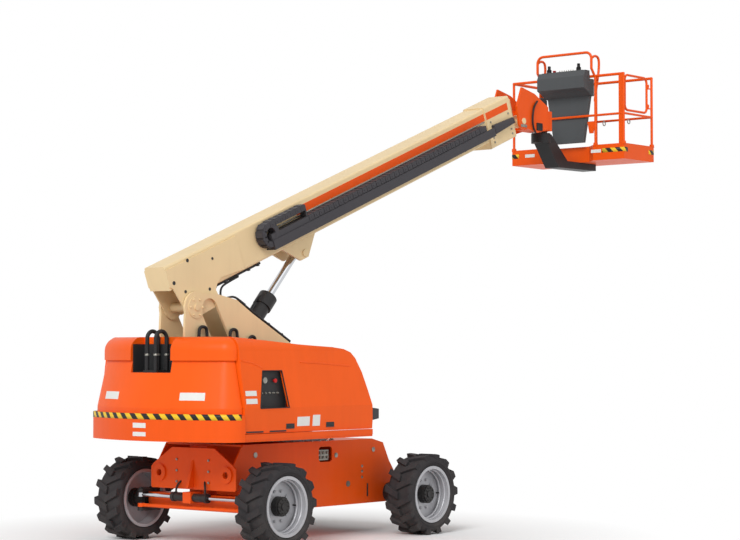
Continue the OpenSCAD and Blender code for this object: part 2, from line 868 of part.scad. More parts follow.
module platform_support() {
    color(orange) {
        mirrored() plate_xz(cheek_in, cheek_in + cheek_t) cheek_outline();
        difference() {
            translate([nose_x + 300, -cheek_in, rotor_low + 20])
                cube([rotor_x - nose_x - 300, 2 * cheek_in, rotor_high - rotor_low - 180]);
            translate([rotor_x, 0, rotor_low - 10]) cylinder(h = 1000, r = rotor_r + fit);
        }
    }
}

module rotator() {
    color(black) translate([rotor_x, 0, rotor_low]) cylinder(h = rotor_high - rotor_low, r = rotor_r);
}

module platform_beam() {
    top = rotor_low - fit;
    under = floor_z - 60;
    color(black) {
        translate([rotor_x, 0, top - 130]) cylinder(h = 130, r = rotor_r + 45);
        plate_xz(-110, 110) polygon([
            [rotor_x - 60, top - 50], [rotor_x - 60, top - 10], [rotor_x + 90, top - 10],
            [platform_x - 150, under], [platform_front - 200, under],
            [platform_front - 200, under - 90], [rotor_x + 260, under - 100]
        ]);
    }
}

// Outline of the floor, drawn in by t, with a recess at the rear
module platform_plan(t) {
    half = platform_w / 2 - t;
    rear = platform_x + t;
    front = platform_front - t;
    wide = 420 + 0.4 * t;
    narrow = 260 + 0.4 * t;
    polygon([
        [rear, half], [front, half], [front, -half], [rear, -half],
        [rear, -wide], [rear + 150, -narrow], [rear + 150, narrow], [rear, wide]
    ]);
}

module platform_floor() {
    toe_t = 8;
    color(orange) {
        translate([0, 0, floor_z - 60]) linear_extrude(60) platform_plan(0);
        translate([0, 0, floor_z]) linear_extrude(toe_h) difference() {
            platform_plan(0);
            platform_plan(toe_t);
        }
    }
}

module platform_rails() {
    x0 = platform_x + rail_r;
    x1 = platform_front - rail_r;
    y1 = platform_w / 2 - rail_r;
    base = floor_z + toe_h;
    guard_y = 440;
    guard_z = floor_z + 1400;
    guard_bend = 90;
    post_r = rail_r - 1.5;
    mid_r = rail_r - 3;
    guard_r = rail_r - 1;
    knot = 0.5;         // a ball at a corner is this much larger than its tubes
    color(orange) {
        // posts, and the rails between them
        for (x = [x0, x1], y = [-y1, y1]) {
            rod([x, y, base], [x, y, rail_z], post_r);
            translate([x, y, rail_z]) sphere(r = rail_r + knot);
        }
        for (y = [-450, 450]) rod([x0, y, base], [x0, y, rail_z], post_r);
        rod([x1, 0, base], [x1, 0, rail_z], post_r);
        for (x = [x0, x1]) {
            rod([x, -y1, rail_z], [x, y1, rail_z], rail_r);
            rod([x, -y1, mid_rail_z], [x, y1, mid_rail_z], mid_r);
        }
        rod([x0, y1, rail_z], [x1, y1, rail_z], rail_r);
        for (y = [-y1, y1]) rod([x0, y, mid_rail_z], [x1, y, mid_rail_z], mid_r - 1);
        // wide post that the gate shuts on
        translate([x0 - 12, -y1 - 10, base]) cube([24, 80, rail_z - base]);
        // guard over the console
        mirrored() {
            rod([x0, guard_y, rail_z], [x0 - 80, guard_y, rail_z + 100], guard_r - 1);
            rod([x0 - 80, guard_y, rail_z + 100], [x0 - 80, guard_y, guard_z - guard_bend], guard_r);
            translate([x0 - 80, guard_y, rail_z + 100]) sphere(r = guard_r + knot);
            translate([x0 - 80, guard_y - guard_bend, guard_z - guard_bend]) rotate([90, 0, 90])
                rotate_extrude(angle = 90) translate([guard_bend, 0]) circle(r = guard_r);
        }
        rod([x0 - 80, guard_bend - guard_y, guard_z], [x0 - 80, guard_y - guard_bend, guard_z], guard_r);
        // hinge pins of the gate
        for (z = [gate_low + 80, gate_high - 120]) {
            translate([gate_hinge[0], gate_hinge[1], z - 25]) cylinder(h = 60, r = gate_pin_r);
            rod([x1, -y1, z - 15], [gate_hinge[0], gate_hinge[1], z - 15], 9);
        }
    }
}

module platform_console() {
    color(dark) {
        bar_yz(platform_x + rail_d - 3 + fit, platform_x + 90) polygon([
            [-240, floor_z + 200], [240, floor_z + 200], [370, floor_z + rail_h - 100],
            [-370, floor_z + rail_h - 100]
        ]);
        plate_xz(-380, 380) polygon([
            [platform_x + 90, floor_z + 820], [platform_x + rail_d - 3 + fit, floor_z + 820],
            [platform_x - 60, floor_z + 880], [platform_x - 160, floor_z + 920],
            [platform_x - 160, floor_z + rail_h - 20], [platform_x - 120, floor_z + rail_h + 60],
            [platform_x - 15, floor_z + rail_h + 60], [platform_x - 10, floor_z + rail_h - 50],
            [platform_x + 90, floor_z + rail_h - 50]
        ]);
    }
}

module gate() {
    bend = 70;
    x0 = platform_x + 75;
    x1 = gate_hinge[0] - 40;
    y = gate_hinge[1];
    corners = [
        [x1 - bend, gate_high - bend, 0], [x0 + bend, gate_high - bend, 90],
        [x0 + bend, gate_low + bend, 180], [x1 - bend, gate_low + bend, 270]
    ];
    color(orange) difference() {
        union() {
            for (z = [gate_low, gate_high]) rod([x0 + bend, y, z], [x1 - bend, y, z], gate_r);
            for (x = [x0, x1]) rod([x, y, gate_low + bend], [x, y, gate_high - bend], gate_r);
            for (c = corners) translate([c[0], y, c[1]]) rotate([90, 0, 0]) rotate([0, 0, c[2]])
                rotate_extrude(angle = 90) translate([bend, 0]) circle(r = gate_r);
            for (z = [gate_low + 80, gate_high - 120]) {
                translate([gate_hinge[0], y, z]) cylinder(h = 40, r = 14);
                rod([x1, y, z + 20], [gate_hinge[0], y, z + 20], 10);
            }
        }
        translate([gate_hinge[0], y, gate_low - 100]) cylinder(h = 1200, r = gate_pin_r + fit);
    }
}

chassis_frame();
steer_axle();
drive_axle();
slew_ring();
steer_barrel();
steer_rod();
tie_rod();
knuckle();  // knuckle_left
mirror([0, 1, 0]) knuckle();  // knuckle_right
tyre(-axle_x, 1);  // tyre_steer_left
tyre(-axle_x, -1);  // tyre_steer_right
tyre(axle_x, 1);  // tyre_drive_left
tyre(axle_x, -1);  // tyre_drive_right
rim(-axle_x, 1);  // rim_steer_left
rim(-axle_x, -1);  // rim_steer_right
rim(axle_x, 1);  // rim_drive_left
rim(axle_x, -1);  // rim_drive_right
hub(-axle_x, 1);  // hub_steer_left
hub(-axle_x, -1);  // hub_steer_right
hub(axle_x, 1);  // hub_drive_left
hub(axle_x, -1);  // hub_drive_right
turntable_frame();
counterweight();
rear_cover();
upright(1);  // upright_left
upright(-1);  // upright_right
pivot_pin();
engine();
control_panel();
hose_loops();
tower_hose();
hood_left();
hood_right();
hood_bumper();
boom_base();
powertrack();
boom_hose();
boom_mid();
boom_fly();
lift_barrel();
lift_rod();
platform_support();
rotator();
platform_beam();
platform_floor();
platform_rails();
platform_console();
gate();
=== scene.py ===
# %% [markdown]
# # A telescopic boom lift
# The machine stands on four rough-terrain tyres. A chassis carries a slewing turntable with its engine
# hoods, and a boom of three nested sections lifts a railed platform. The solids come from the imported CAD
# model, which is loaded first and never moved. This script gives every solid its finish and adds what is
# too small or too thin for the solids: nuts, clips, stripes, latches, plates, panels and lines.

# %% Load the frame
import json
import math

import bpy
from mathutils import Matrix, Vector


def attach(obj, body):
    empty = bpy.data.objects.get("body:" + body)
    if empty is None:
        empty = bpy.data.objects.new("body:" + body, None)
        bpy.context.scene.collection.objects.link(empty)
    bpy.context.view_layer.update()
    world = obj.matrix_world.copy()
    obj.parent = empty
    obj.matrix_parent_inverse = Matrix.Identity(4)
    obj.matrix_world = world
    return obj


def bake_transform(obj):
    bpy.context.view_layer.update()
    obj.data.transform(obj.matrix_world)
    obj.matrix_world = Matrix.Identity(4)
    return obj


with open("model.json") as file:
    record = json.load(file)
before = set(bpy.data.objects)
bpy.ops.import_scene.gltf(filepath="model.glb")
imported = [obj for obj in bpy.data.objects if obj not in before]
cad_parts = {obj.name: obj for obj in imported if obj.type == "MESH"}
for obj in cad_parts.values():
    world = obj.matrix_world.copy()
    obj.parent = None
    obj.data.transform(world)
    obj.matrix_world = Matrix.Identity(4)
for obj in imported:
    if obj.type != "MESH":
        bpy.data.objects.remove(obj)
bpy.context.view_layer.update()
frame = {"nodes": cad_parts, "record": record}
nodes = frame["nodes"]
scene = bpy.context.scene

# %% [markdown]
# ## Camera
# A product picture like this is taken from far off with a long lens, so that the machine looks calm and
# its verticals stay nearly upright. The camera stands off the right rear corner, a little above head
# height, and looks up slightly. The lens follows from the picture's width, with the usual 36 mm sensor.

# %% Camera at the picture's angle
PICTURE_WIDTH = 740
SENSOR_WIDTH = 36.0
FOCAL_PIXELS = 2076.5
CAMERA_PLACE = (-17.592, -15.876, 2.113)
CAMERA_YAW = 39.59
CAMERA_PITCH = 2.20

camera_data = bpy.data.cameras.new("view_camera")
camera_data.sensor_fit = "HORIZONTAL"
camera_data.sensor_width = SENSOR_WIDTH
camera_data.lens = FOCAL_PIXELS / PICTURE_WIDTH * SENSOR_WIDTH
camera_data.clip_end = 500
camera = bpy.data.objects.new("view_camera", camera_data)
camera.location = CAMERA_PLACE
camera.rotation_euler = (math.radians(90 + CAMERA_PITCH), 0, math.radians(CAMERA_YAW - 90))
scene.collection.objects.link(camera)
scene.camera = camera
scene.view_settings.view_transform = "Standard"
print("lens:", round(camera_data.lens, 1), "mm")

# %% [markdown]
# ## Selecting and settling
# An operator acts on whatever is selected, and the solids come in selected, so everything is deselected
# before a new piece is started. A piece could keep its place on its object, but the solids have theirs in
# their meshes and patterns follow the object. So each finished piece is settled: its place, turn and
# scale go into its mesh.

# %% Selecting, settling and joining
def clear_selection():
    """Leave edit mode and deselect everything."""
    if bpy.context.object and bpy.context.object.mode != "OBJECT":
        bpy.ops.object.mode_set(mode="OBJECT")
    bpy.ops.object.select_all(action="DESELECT")


def make_active(piece):
    """Select one object and make it the one that operators act on."""
    clear_selection()
    piece.select_set(True)
    bpy.context.view_layer.objects.active = piece


def settle():
    """Put an object's place, turn and scale into its mesh."""
    bpy.ops.object.transform_apply(location=True, rotation=True, scale=True)


def join_all(parts):
    """Join several objects into the first of them."""
    make_active(parts[0])
    for part in parts:
        part.select_set(True)
    if len(parts) > 1:
        bpy.ops.object.join()
    return bpy.context.object


# %% [markdown]
# ## Starting a piece
# Most fittings start as a block or a round, added at their size and place. They could be typed in as
# lists of points and faces, but a primitive is easier to read, and it is how the work starts by hand. A
# round's axis is given as a direction, and one small function turns that into angles.

# %% Blocks and rounds
def turn_to(axis):
    """The turn that points a piece's own Z axis along a direction."""
    return Vector(axis).to_track_quat("Z", "Y").to_euler()


def start_block(size, place, turn=(0, 0, 0)):
    """A box at its size and place."""
    clear_selection()
    bpy.ops.mesh.primitive_cube_add(size=1, location=place, rotation=turn, scale=size)
    settle()
    return bpy.context.object


def start_round(radius, length, place, axis, sides=28):
    """A cylinder along an axis."""
    clear_selection()
    bpy.ops.mesh.primitive_cylinder_add(
        vertices=sides, radius=radius, depth=length, location=place, rotation=turn_to(axis))
    settle()
    return bpy.context.object


# %% [markdown]
# ## Shaping a piece
# The start is then shaped in edit mode. Faces could be picked by number, but numbers change with every
# step, so they are picked by the way they look. A face is inset to sink a panel, scaled to taper a block,
# or drawn out into a stud. At the end the sharp edges are rounded, because a real edge catches the light.

# %% Faces and edges
SAME_WAY = 0.97
SHARP_EDGE = math.radians(35)
SMOOTH_EDGE = math.radians(40)


def pick_faces(way):
    """Go to edit mode with only the faces that look along a direction selected."""
    way = Vector(way).normalized()
    piece = bpy.context.object
    bpy.ops.object.mode_set(mode="EDIT")
    bpy.ops.mesh.select_mode(type="FACE")
    bpy.ops.mesh.select_all(action="DESELECT")
    bpy.ops.object.mode_set(mode="OBJECT")
    for face in piece.data.polygons:
        face.select = face.normal.dot(way) > SAME_WAY
    bpy.ops.object.mode_set(mode="EDIT")


def inset_face(way, border, depth):
    """Draw a border inside the faces that look along a direction, and sink or raise what it rings."""
    pick_faces(way)
    bpy.ops.mesh.inset(thickness=border, depth=depth)
    bpy.ops.object.mode_set(mode="OBJECT")


def taper_face(way, factor):
    """Scale the faces that look along a direction."""
    pick_faces(way)
    bpy.ops.transform.resize(value=factor)
    bpy.ops.object.mode_set(mode="OBJECT")


def grow_face(way, border, height):
    """Draw a smaller face out of one that looks along a direction, as a stud on a nut."""
    pick_faces(way)
    bpy.ops.mesh.inset(thickness=border)
    step = tuple(Vector(way).normalized() * height)
    bpy.ops.mesh.extrude_region_move(TRANSFORM_OT_translate={"value": step})
    bpy.ops.object.mode_set(mode="OBJECT")


def soften(width, segments=2):
    """Round the sharp edges of the active piece, as a press or a file does."""
    piece = bpy.context.object
    rounding = piece.modifiers.new("soft_edges", "BEVEL")
    rounding.width = width
    rounding.segments = segments
    rounding.limit_method = "ANGLE"
    rounding.angle_limit = SHARP_EDGE
    bpy.ops.object.modifier_apply(modifier=rounding.name)
    bpy.ops.object.shade_smooth_by_angle(angle=SMOOTH_EDGE)
    return piece


# %% [markdown]
# ## Handing a piece over
# A finished piece gets a name and a finish, and it rides on one of the machine's bodies, so that it moves
# with the joints. This could be done piece by piece, but every piece needs the same steps, so they are one
# function. The coat is a function of its own, for a hose that crosses between two bodies and rides on
# neither.

# %% Coat and ride
def coat_piece(piece, name, slot, material=None):
    """Name a piece and give it its finish."""
    make_active(piece)
    settle()
    piece.name = name
    piece.data.name = name
    piece.data.materials.clear()
    piece.data.materials.append(material or finish[slot])
    return piece


def finish_piece(piece, name, body, slot, material=None):
    """Coat a piece and let it ride on a body."""
    coat_piece(piece, name, slot, material)
    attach(piece, body)


# %% [markdown]
# ## Helpers for nodes
# A material could be wired up node by node. Sums, colour mixes, noise and a point's place come up so
# often that each gets a function, which adds the node, sets plain numbers on it and links what comes from
# other nodes. Patterns read Object coordinates, so that they stay on their piece when a joint moves.

# %% Node helpers
def new_group(name, inputs, outputs):
    """An empty shader group with its sockets."""
    group = bpy.data.node_groups.new(name, "ShaderNodeTree")
    for label, kind, value in inputs:
        socket = group.interface.new_socket(name=label, in_out="INPUT", socket_type=kind)
        socket.default_value = value
    for label, kind in outputs:
        group.interface.new_socket(name=label, in_out="OUTPUT", socket_type=kind)
    entry = group.nodes.new("NodeGroupInput")
    leave = group.nodes.new("NodeGroupOutput")
    return group, entry, leave


def add_math(tree, operation, *values, clamp=False):
    """A Math node. Numbers are set on it, and anything else is linked to it."""
    node = tree.nodes.new("ShaderNodeMath")
    node.operation = operation
    node.use_clamp = clamp
    for index, value in enumerate(values):
        if isinstance(value, (int, float)):
            node.inputs[index].default_value = value
        else:
            tree.links.new(value, node.inputs[index])
    return node.outputs[0]


def add_mix(tree, factor, first, second, blend="MIX"):
    """A node that mixes two colours."""
    node = tree.nodes.new("ShaderNodeMix")
    node.data_type = "RGBA"
    node.blend_type = blend
    for label, value in (("Factor", factor), ("A", first), ("B", second)):
        socket = node.inputs[label]
        if isinstance(value, (int, float, tuple)):
            socket.default_value = value
        else:
            tree.links.new(value, socket)
    return node.outputs["Result"]


def add_noise(tree, scale, detail, roughness=0.5, stretch=None):
    """A Noise Texture on Object coordinates, stretched where asked."""
    place = tree.nodes.new("ShaderNodeTexCoord")
    noise = tree.nodes.new("ShaderNodeTexNoise")
    source = place.outputs["Object"]
    if stretch:
        mapping = tree.nodes.new("ShaderNodeMapping")
        mapping.inputs["Scale"].default_value = stretch
        tree.links.new(source, mapping.inputs["Vector"])
        source = mapping.outputs["Vector"]
    tree.links.new(source, noise.inputs["Vector"])
    if isinstance(scale, (int, float)):
        noise.inputs["Scale"].default_value = scale
    else:
        tree.links.new(scale, noise.inputs["Scale"])
    noise.inputs["Detail"].default_value = detail
    noise.inputs["Roughness"].default_value = roughness
    return noise.outputs[0]


def split_place(tree):
    """A point's place on the object as X, Y and Z."""
    place = tree.nodes.new("ShaderNodeTexCoord")
    split = tree.nodes.new("ShaderNodeSeparateXYZ")
    tree.links.new(place.outputs["Object"], split.inputs[0])
    return split.outputs


# %% [markdown]
# ## Coat of paint
# Paint on steel is never one even colour: it has a fine orange-peel texture, a slow drift in tone and
# faint streaks where rain runs down, and dust settles on what faces up or is near the ground. Each finish
# could have these nodes to itself, but all of them need the same ones, so they are a node group whose
# inputs each finish sets.

# %% Paint group
def make_paint_group():
    """Colour, roughness and relief of a painted or moulded surface."""
    group, entry, leave = new_group(
        "coat_of_paint",
        [("Color", "NodeSocketColor", (0.8, 0.8, 0.8, 1)),
         ("Dust Color", "NodeSocketColor", (0.4, 0.34, 0.28, 1)),
         ("Dust", "NodeSocketFloat", 0.2), ("Roughness", "NodeSocketFloat", 0.35),
         ("Streaks", "NodeSocketFloat", 0.06), ("Peel Scale", "NodeSocketFloat", 180.0)],
        [("Color", "NodeSocketColor"), ("Roughness", "NodeSocketFloat"), ("Height", "NodeSocketFloat")])
    drift = add_math(group, "MULTIPLY_ADD", add_noise(group, 1.7, 3), 0.14, 0.93)
    runs = add_noise(group, 9.0, 4, 0.6, stretch=(1.0, 1.0, 0.08))
    streak = add_math(group, "MULTIPLY", add_math(group, "SUBTRACT", runs, 0.5), entry.outputs["Streaks"])
    tone = add_math(group, "ADD", drift, add_math(group, "MULTIPLY", streak, 2.0))
    shade = add_mix(group, 1.0, entry.outputs["Color"], tone, "MULTIPLY")
    low = add_math(group, "MULTIPLY_ADD", split_place(group)["Z"], -1.1, 1.0, clamp=True)
    facing = group.nodes.new("ShaderNodeNewGeometry")
    normal = group.nodes.new("ShaderNodeSeparateXYZ")
    group.links.new(facing.outputs["Normal"], normal.inputs[0])
    up = add_math(group, "MULTIPLY", normal.outputs["Z"], 0.35, clamp=True)
    where = add_math(group, "ADD", low, up, clamp=True)
    spots = add_math(group, "MULTIPLY_ADD", add_noise(group, 6.0, 6, 0.65), 2.6, -0.85, clamp=True)
    dusty = add_math(group, "MULTIPLY", where, spots)
    mask = add_math(group, "MULTIPLY", dusty, entry.outputs["Dust"], clamp=True)
    blend = add_mix(group, mask, shade, entry.outputs["Dust Color"])
    cloud = add_math(group, "MULTIPLY_ADD", add_noise(group, 14.0, 3), 0.12, -0.06)
    rough = add_math(group, "ADD", entry.outputs["Roughness"], cloud)
    rough = add_math(group, "MULTIPLY_ADD", mask, 0.4, rough, clamp=True)
    group.links.new(blend, leave.inputs["Color"])
    group.links.new(rough, leave.inputs["Roughness"])
    group.links.new(add_noise(group, entry.outputs["Peel Scale"], 2), leave.inputs["Height"])
    return group


paint_group = make_paint_group()
print("paint group:", len(paint_group.nodes), "nodes")

# %% [markdown]
# ## Slanting bars
# Warning tape has slanting black bars on yellow. An image could be wrapped round the strip, but bars that
# are counted off from a point's place need no image. The count runs across the machine and then forward
# along both sides, as the strips do.

# %% Bars group
def make_bars_group():
    """Slanting bars along a line that runs across the machine and turns forward at both ends."""
    group, entry, leave = new_group(
        "slanting_bars", [("Rear", "NodeSocketFloat", 0.0), ("Pitch", "NodeSocketFloat", 0.155)],
        [("Mask", "NodeSocketFloat")])
    place = split_place(group)
    ahead = add_math(group, "SUBTRACT", place["X"], entry.outputs["Rear"])
    beside = add_math(group, "MULTIPLY", add_math(group, "SIGN", place["Y"]), ahead)
    along = add_math(group, "SUBTRACT", add_math(group, "ADD", place["Y"], beside), place["Z"])
    part = add_math(group, "FRACT", add_math(group, "DIVIDE", along, entry.outputs["Pitch"]))
    group.links.new(add_math(group, "GREATER_THAN", part, 0.5), leave.inputs["Mask"])
    return group


bars_group = make_bars_group()
print("bars group:", len(bars_group.nodes), "nodes")

# %% [markdown]
# ## Finishes
# Each finish is a Principled shader whose colour, roughness and bump come from the paint group, with
# values of its own. What is the same all over a surface, such as the strength of its reflections, is set
# on the shader itself. Colours are written as in a paint program, because they are easy to compare that
# way, and are turned into the linear values that shaders use.

# %% Painted finish
def srgb(red, green, blue):
    """A colour as written in a paint program, from 0 to 255, in the linear values that shaders use."""
    def linear(value):
        value = value / 255
        return value / 12.92 if value <= 0.04045 else ((value + 0.055) / 1.055) ** 2.4
    return (linear(red), linear(green), linear(blue), 1.0)


def new_material(name):
    """A material with its node tree and its Principled shader."""
    material = bpy.data.materials.new(name)
    material.use_nodes = True
    return material, material.node_tree, material.node_tree.nodes["Principled BSDF"]


def painted(name, color, roughness=0.35, dust=0.2, peel=180.0, bump=0.02, metallic=0.0, gloss=0.3,
            streaks=0.06):
    """A finish made from the paint group."""
    material, tree, shader = new_material(name)
    coat = tree.nodes.new("ShaderNodeGroup")
    coat.name = "coat"
    coat.node_tree = paint_group
    coat.inputs["Color"].default_value = color
    coat.inputs["Roughness"].default_value = roughness
    coat.inputs["Dust"].default_value = dust
    coat.inputs["Streaks"].default_value = streaks
    coat.inputs["Peel Scale"].default_value = peel
    relief = tree.nodes.new("ShaderNodeBump")
    relief.inputs["Strength"].default_value = bump
    relief.inputs["Distance"].default_value = 0.002
    tree.links.new(coat.outputs["Height"], relief.inputs["Height"])
    tree.links.new(coat.outputs["Color"], shader.inputs["Base Color"])
    tree.links.new(coat.outputs["Roughness"], shader.inputs["Roughness"])
    tree.links.new(relief.outputs["Normal"], shader.inputs["Normal"])
    shader.inputs["Metallic"].default_value = metallic
    shader.inputs["Specular IOR Level"].default_value = gloss
    return material


# %% [markdown]
# ## Paints of the machine
# The chassis, turntable and platform are orange, the covers are a slightly lighter orange, and the tower
# and boom are cream. The drive axle, hubs and cylinder barrels are black, the rods are chromed, and the
# fittings are zinc plated, plastic or rubber. Each could be set up by hand in the editor, but in a table
# their differences are seen side by side.

# %% Table of finishes
finish = {
    "orange_paint": painted("orange_paint", srgb(232, 84, 8), 0.42, 0.08, gloss=0.22),
    "orange_cover": painted("orange_cover", srgb(238, 90, 10), 0.40, 0.05, gloss=0.22),
    "cream_paint": painted("cream_paint", srgb(228, 203, 158), 0.45, 0.10),
    "black_paint": painted("black_paint", srgb(34, 33, 34), 0.45, 0.10),
    "tyre": painted("tyre_rubber", srgb(50, 48, 50), 0.85, 0.10, peel=90, bump=0.25, gloss=0.2),
    "rim": painted("rim_paint", srgb(178, 178, 182), 0.34, 0.08, metallic=0.3),
    "chrome": painted("chrome", srgb(200, 202, 206), 0.08, 0.0, metallic=1.0, bump=0.0, streaks=0.0),
    "cast": painted("cast_iron", srgb(70, 70, 70), 0.6, 0.2, peel=60, bump=0.2),
    "steel": painted("bare_steel", srgb(120, 120, 122), 0.4, 0.1, metallic=0.9),
    "grey_plastic": painted("grey_plastic", srgb(74, 77, 79), 0.55, 0.06, peel=260, bump=0.15),
    "black_plastic": painted("black_plastic", srgb(60, 58, 62), 0.55, 0.08, peel=260, bump=0.15),
    "black_rubber": painted("black_rubber", srgb(30, 29, 30), 0.6, 0.06, peel=260, bump=0.1),
}
zinc = painted("zinc_plate", srgb(150, 148, 140), 0.38, 0.1, metallic=0.8)
white_plate = painted("white_plate", srgb(222, 222, 218), 0.4, 0.05)
# Dark grey plastic for plates, clips, plugs and latches. The same finish also paints the shade inside the
# chassis slots, the hood drain slots and the notch in the rear cover.
dark_panel = painted("dark_panel", srgb(44, 45, 46), 0.5, 0.05, peel=260, bump=0.12)
red_button = painted("red_button", srgb(190, 26, 24), 0.3, 0.0)
grating = painted("grating", srgb(96, 94, 92), 0.5, 0.15, metallic=0.6)
print("finishes in the table:", len(finish))

# %% [markdown]
# ## Tape with bars
# The tapes on the tail and on the platform's toe boards are yellow with the bars over it. They could be
# two materials built one after the other. One function builds both, and takes the place where the count
# of bars starts and their pitch.

# %% Warning tapes
TAIL_R = 2.2
PLATFORM_REAR = 5.81


def warning_tape(name, rear, pitch):
    """A yellow finish with black bars over it."""
    material = painted(name, srgb(232, 190, 40), 0.4, 0.1)
    tree = material.node_tree
    bars = tree.nodes.new("ShaderNodeGroup")
    bars.node_tree = bars_group
    bars.inputs["Rear"].default_value = rear
    bars.inputs["Pitch"].default_value = pitch
    color = add_mix(tree, bars.outputs["Mask"], srgb(232, 190, 40), srgb(26, 25, 26))
    tree.links.new(color, tree.nodes["coat"].inputs["Color"])
    return material


tail_tape = warning_tape("tail_tape", -TAIL_R, 0.18)
toe_tape = warning_tape("toe_tape", PLATFORM_REAR, 0.155)
print("tapes:", tail_tape.name, toe_tape.name)

# %% [markdown]
# ## Finishes on the solids
# The model says of each solid what it is made of, so the finishes are put on in one loop. Doing it by
# name would take a line for each solid and could miss one.

# %% Finish for each solid
slot_of = {part["node"]: part["material_slot"] for part in frame["record"]["subparts"]}
for name, solid in nodes.items():
    solid.data.materials.clear()
    solid.data.materials.append(finish[slot_of[name]])
print("solids with a finish:", len(nodes))

# %% [markdown]
# ## Nuts and bolts
# A bolt's head is a hexagon with the end of its stud standing out of it. Each could be modelled in its
# place, but the machine has about two hundred that differ only in size. So one is modelled standing on
# the ground plane, and its copies are put on their circles and rows. Each copy has its own mesh, and all
# of a ring are joined into one piece.

# %% Bolts and circles of bolts
UP = (0, 0, 1)


def place_copies(model, places):
    """Copies of a modelled piece, each with its own mesh, joined into one. A place is a point and a turn."""
    copies = []
    for point, turn in places:
        twin = model.copy()
        twin.data = model.data.copy()
        twin.location = point
        twin.rotation_euler = turn
        scene.collection.objects.link(twin)
        copies.append(twin)
    bpy.data.objects.remove(model, do_unlink=True)
    bpy.context.view_layer.update()
    return join_all(copies)


def make_bolt(radius, height):
    """A hexagon head with the end of its stud, standing on the ground plane."""
    start_round(radius, height, (0, 0, height / 2), UP, sides=6)
    grow_face(UP, radius * 0.45, height * 0.45)
    return soften(radius * 0.12, 1)


def ring_places(centre, axis, radius, count):
    """Points on a circle about an axis, each with the turn that stands a bolt on the circle's face."""
    turn = Vector(axis).to_track_quat("Z", "Y")
    places = []
    for index in range(count):
        angle = 2 * math.pi * index / count
        arm = turn @ Vector((radius * math.cos(angle), radius * math.sin(angle), 0))
        places.append((Vector(centre) + arm, turn.to_euler()))
    return places


# %% [markdown]
# ## Wheels
# Each rim is held by a ring of nuts on its studs, and the hub's cover has a smaller ring of bolts and a
# cap with a sunk middle. All rings could be one piece, but each wheel turns on its own, so each gets its
# own.

# %% Wheel nuts, hub bolts and caps
WHEEL_X = 1.245
WHEEL_Y = 1.067
WHEEL_Z = 0.46
RING_BOLTS = 10
NUT_RING = 0.165
HUB_RING = 0.072
wheels = {"steer_left": (-1, 1), "steer_right": (-1, -1), "drive_left": (1, 1), "drive_right": (1, -1)}


def at_wheel(name, offset, ahead=0.0):
    """A place on a wheel's axis, out from the middle of its tyre, or ahead of the axis."""
    end, side = wheels[name]
    return (end * WHEEL_X + ahead, side * (WHEEL_Y + offset), WHEEL_Z)


for name, (_, side) in wheels.items():
    body = "wheel_" + name
    out = (0, side, 0)
    studs = ring_places(at_wheel(name, 0.021), out, NUT_RING, RING_BOLTS)
    finish_piece(place_copies(make_bolt(0.017, 0.018), studs), "wheel_nuts_" + name, body, "rim")
    holes = ring_places(at_wheel(name, 0.115), out, HUB_RING, RING_BOLTS)
    finish_piece(place_copies(make_bolt(0.009, 0.008), holes), "hub_bolts_" + name, body, "black_paint")
    start_round(0.042, 0.014, at_wheel(name, 0.121), out)
    inset_face(out, 0.008, -0.003)
    finish_piece(soften(0.003), "hub_cap_" + name, body, "black_paint")
print("wheels:", len(wheels), "with", RING_BOLTS, "nuts each")

# %% [markdown]
# ## Ribs, steps and valves
# Two moulded ribs run round the tyre's outer wall, and two rolled steps run round the inside of the rim.
# They could be part of the solids, but they are thin, and a ring that is half sunk in the wall gives the
# same line of light and shade. The tyre's valve is a short rubber stem with a narrower tip.

# %% Tyre ribs, rim steps and valves
TYRE_RIBS = ((0.366, 0.1765, 0.006), (0.338, 0.154, 0.005))
RIM_STEPS = ((0.284, 0.112, 0.011), (0.279, 0.048, 0.015))


def start_ring(radius, thick, place, turn, steps=72, sides=10):
    """A round bar bent into a ring."""
    clear_selection()
    bpy.ops.mesh.primitive_torus_add(
        major_radius=radius, minor_radius=thick, major_segments=steps, minor_segments=sides,
        location=place, rotation=turn)
    bpy.ops.object.shade_smooth()
    return bpy.context.object


for name, (_, side) in wheels.items():
    body = "wheel_" + name
    out = (0, side, 0)
    for title, slot, rings in (("tyre_ribs_", "tyre", TYRE_RIBS), ("rim_steps_", "rim", RIM_STEPS)):
        bars = []
        for radius, offset, thick in rings:
            bars.append(start_ring(radius, thick, at_wheel(name, offset), turn_to(out)))
        finish_piece(join_all(bars), title + name, body, slot)
    start_round(0.008, 0.045, at_wheel(name, 0.035, 0.245), out, sides=12)
    grow_face(out, 0.002, 0.008)
    finish_piece(soften(0.001, 1), "valve_" + name, body, "black_rubber")
print("rings on each wheel:", len(TYRE_RIBS) + len(RIM_STEPS))

# %% [markdown]
# ## Steering
# Bolted caps close the kingpins, nuts hold the rod ends, and two short pipes feed the steering cylinder.
# A pipe could be extruded step by step along its path, but a curve with a round bevel follows a few
# points smoothly, and is then turned into a mesh.

# %% Kingpin caps, rod nuts and steering pipes
SIDES = ((1, "left"), (-1, "right"))
KINGPIN_Y = 0.76
ROD_X = -1.445


def start_line(points, radius, smooth=True):
    """A round bar, pipe or hose that follows points, made as a curve and turned into a mesh."""
    clear_selection()
    line = bpy.data.curves.new("line", "CURVE")
    line.dimensions = "3D"
    line.bevel_depth = radius
    line.bevel_resolution = 3
    line.resolution_u = 6
    line.use_fill_caps = True
    spline = line.splines.new("NURBS" if smooth else "POLY")
    spline.points.add(len(points) - 1)
    for knot, point in zip(spline.points, points):
        knot.co = (*point, 1)
    if smooth:
        spline.order_u = 3
        spline.use_endpoint_u = True
    holder = bpy.data.objects.new("line", line)
    scene.collection.objects.link(holder)
    make_active(holder)
    bpy.ops.object.convert(target="MESH")
    bpy.ops.object.shade_smooth_by_angle(angle=SMOOTH_EDGE)
    return bpy.context.object


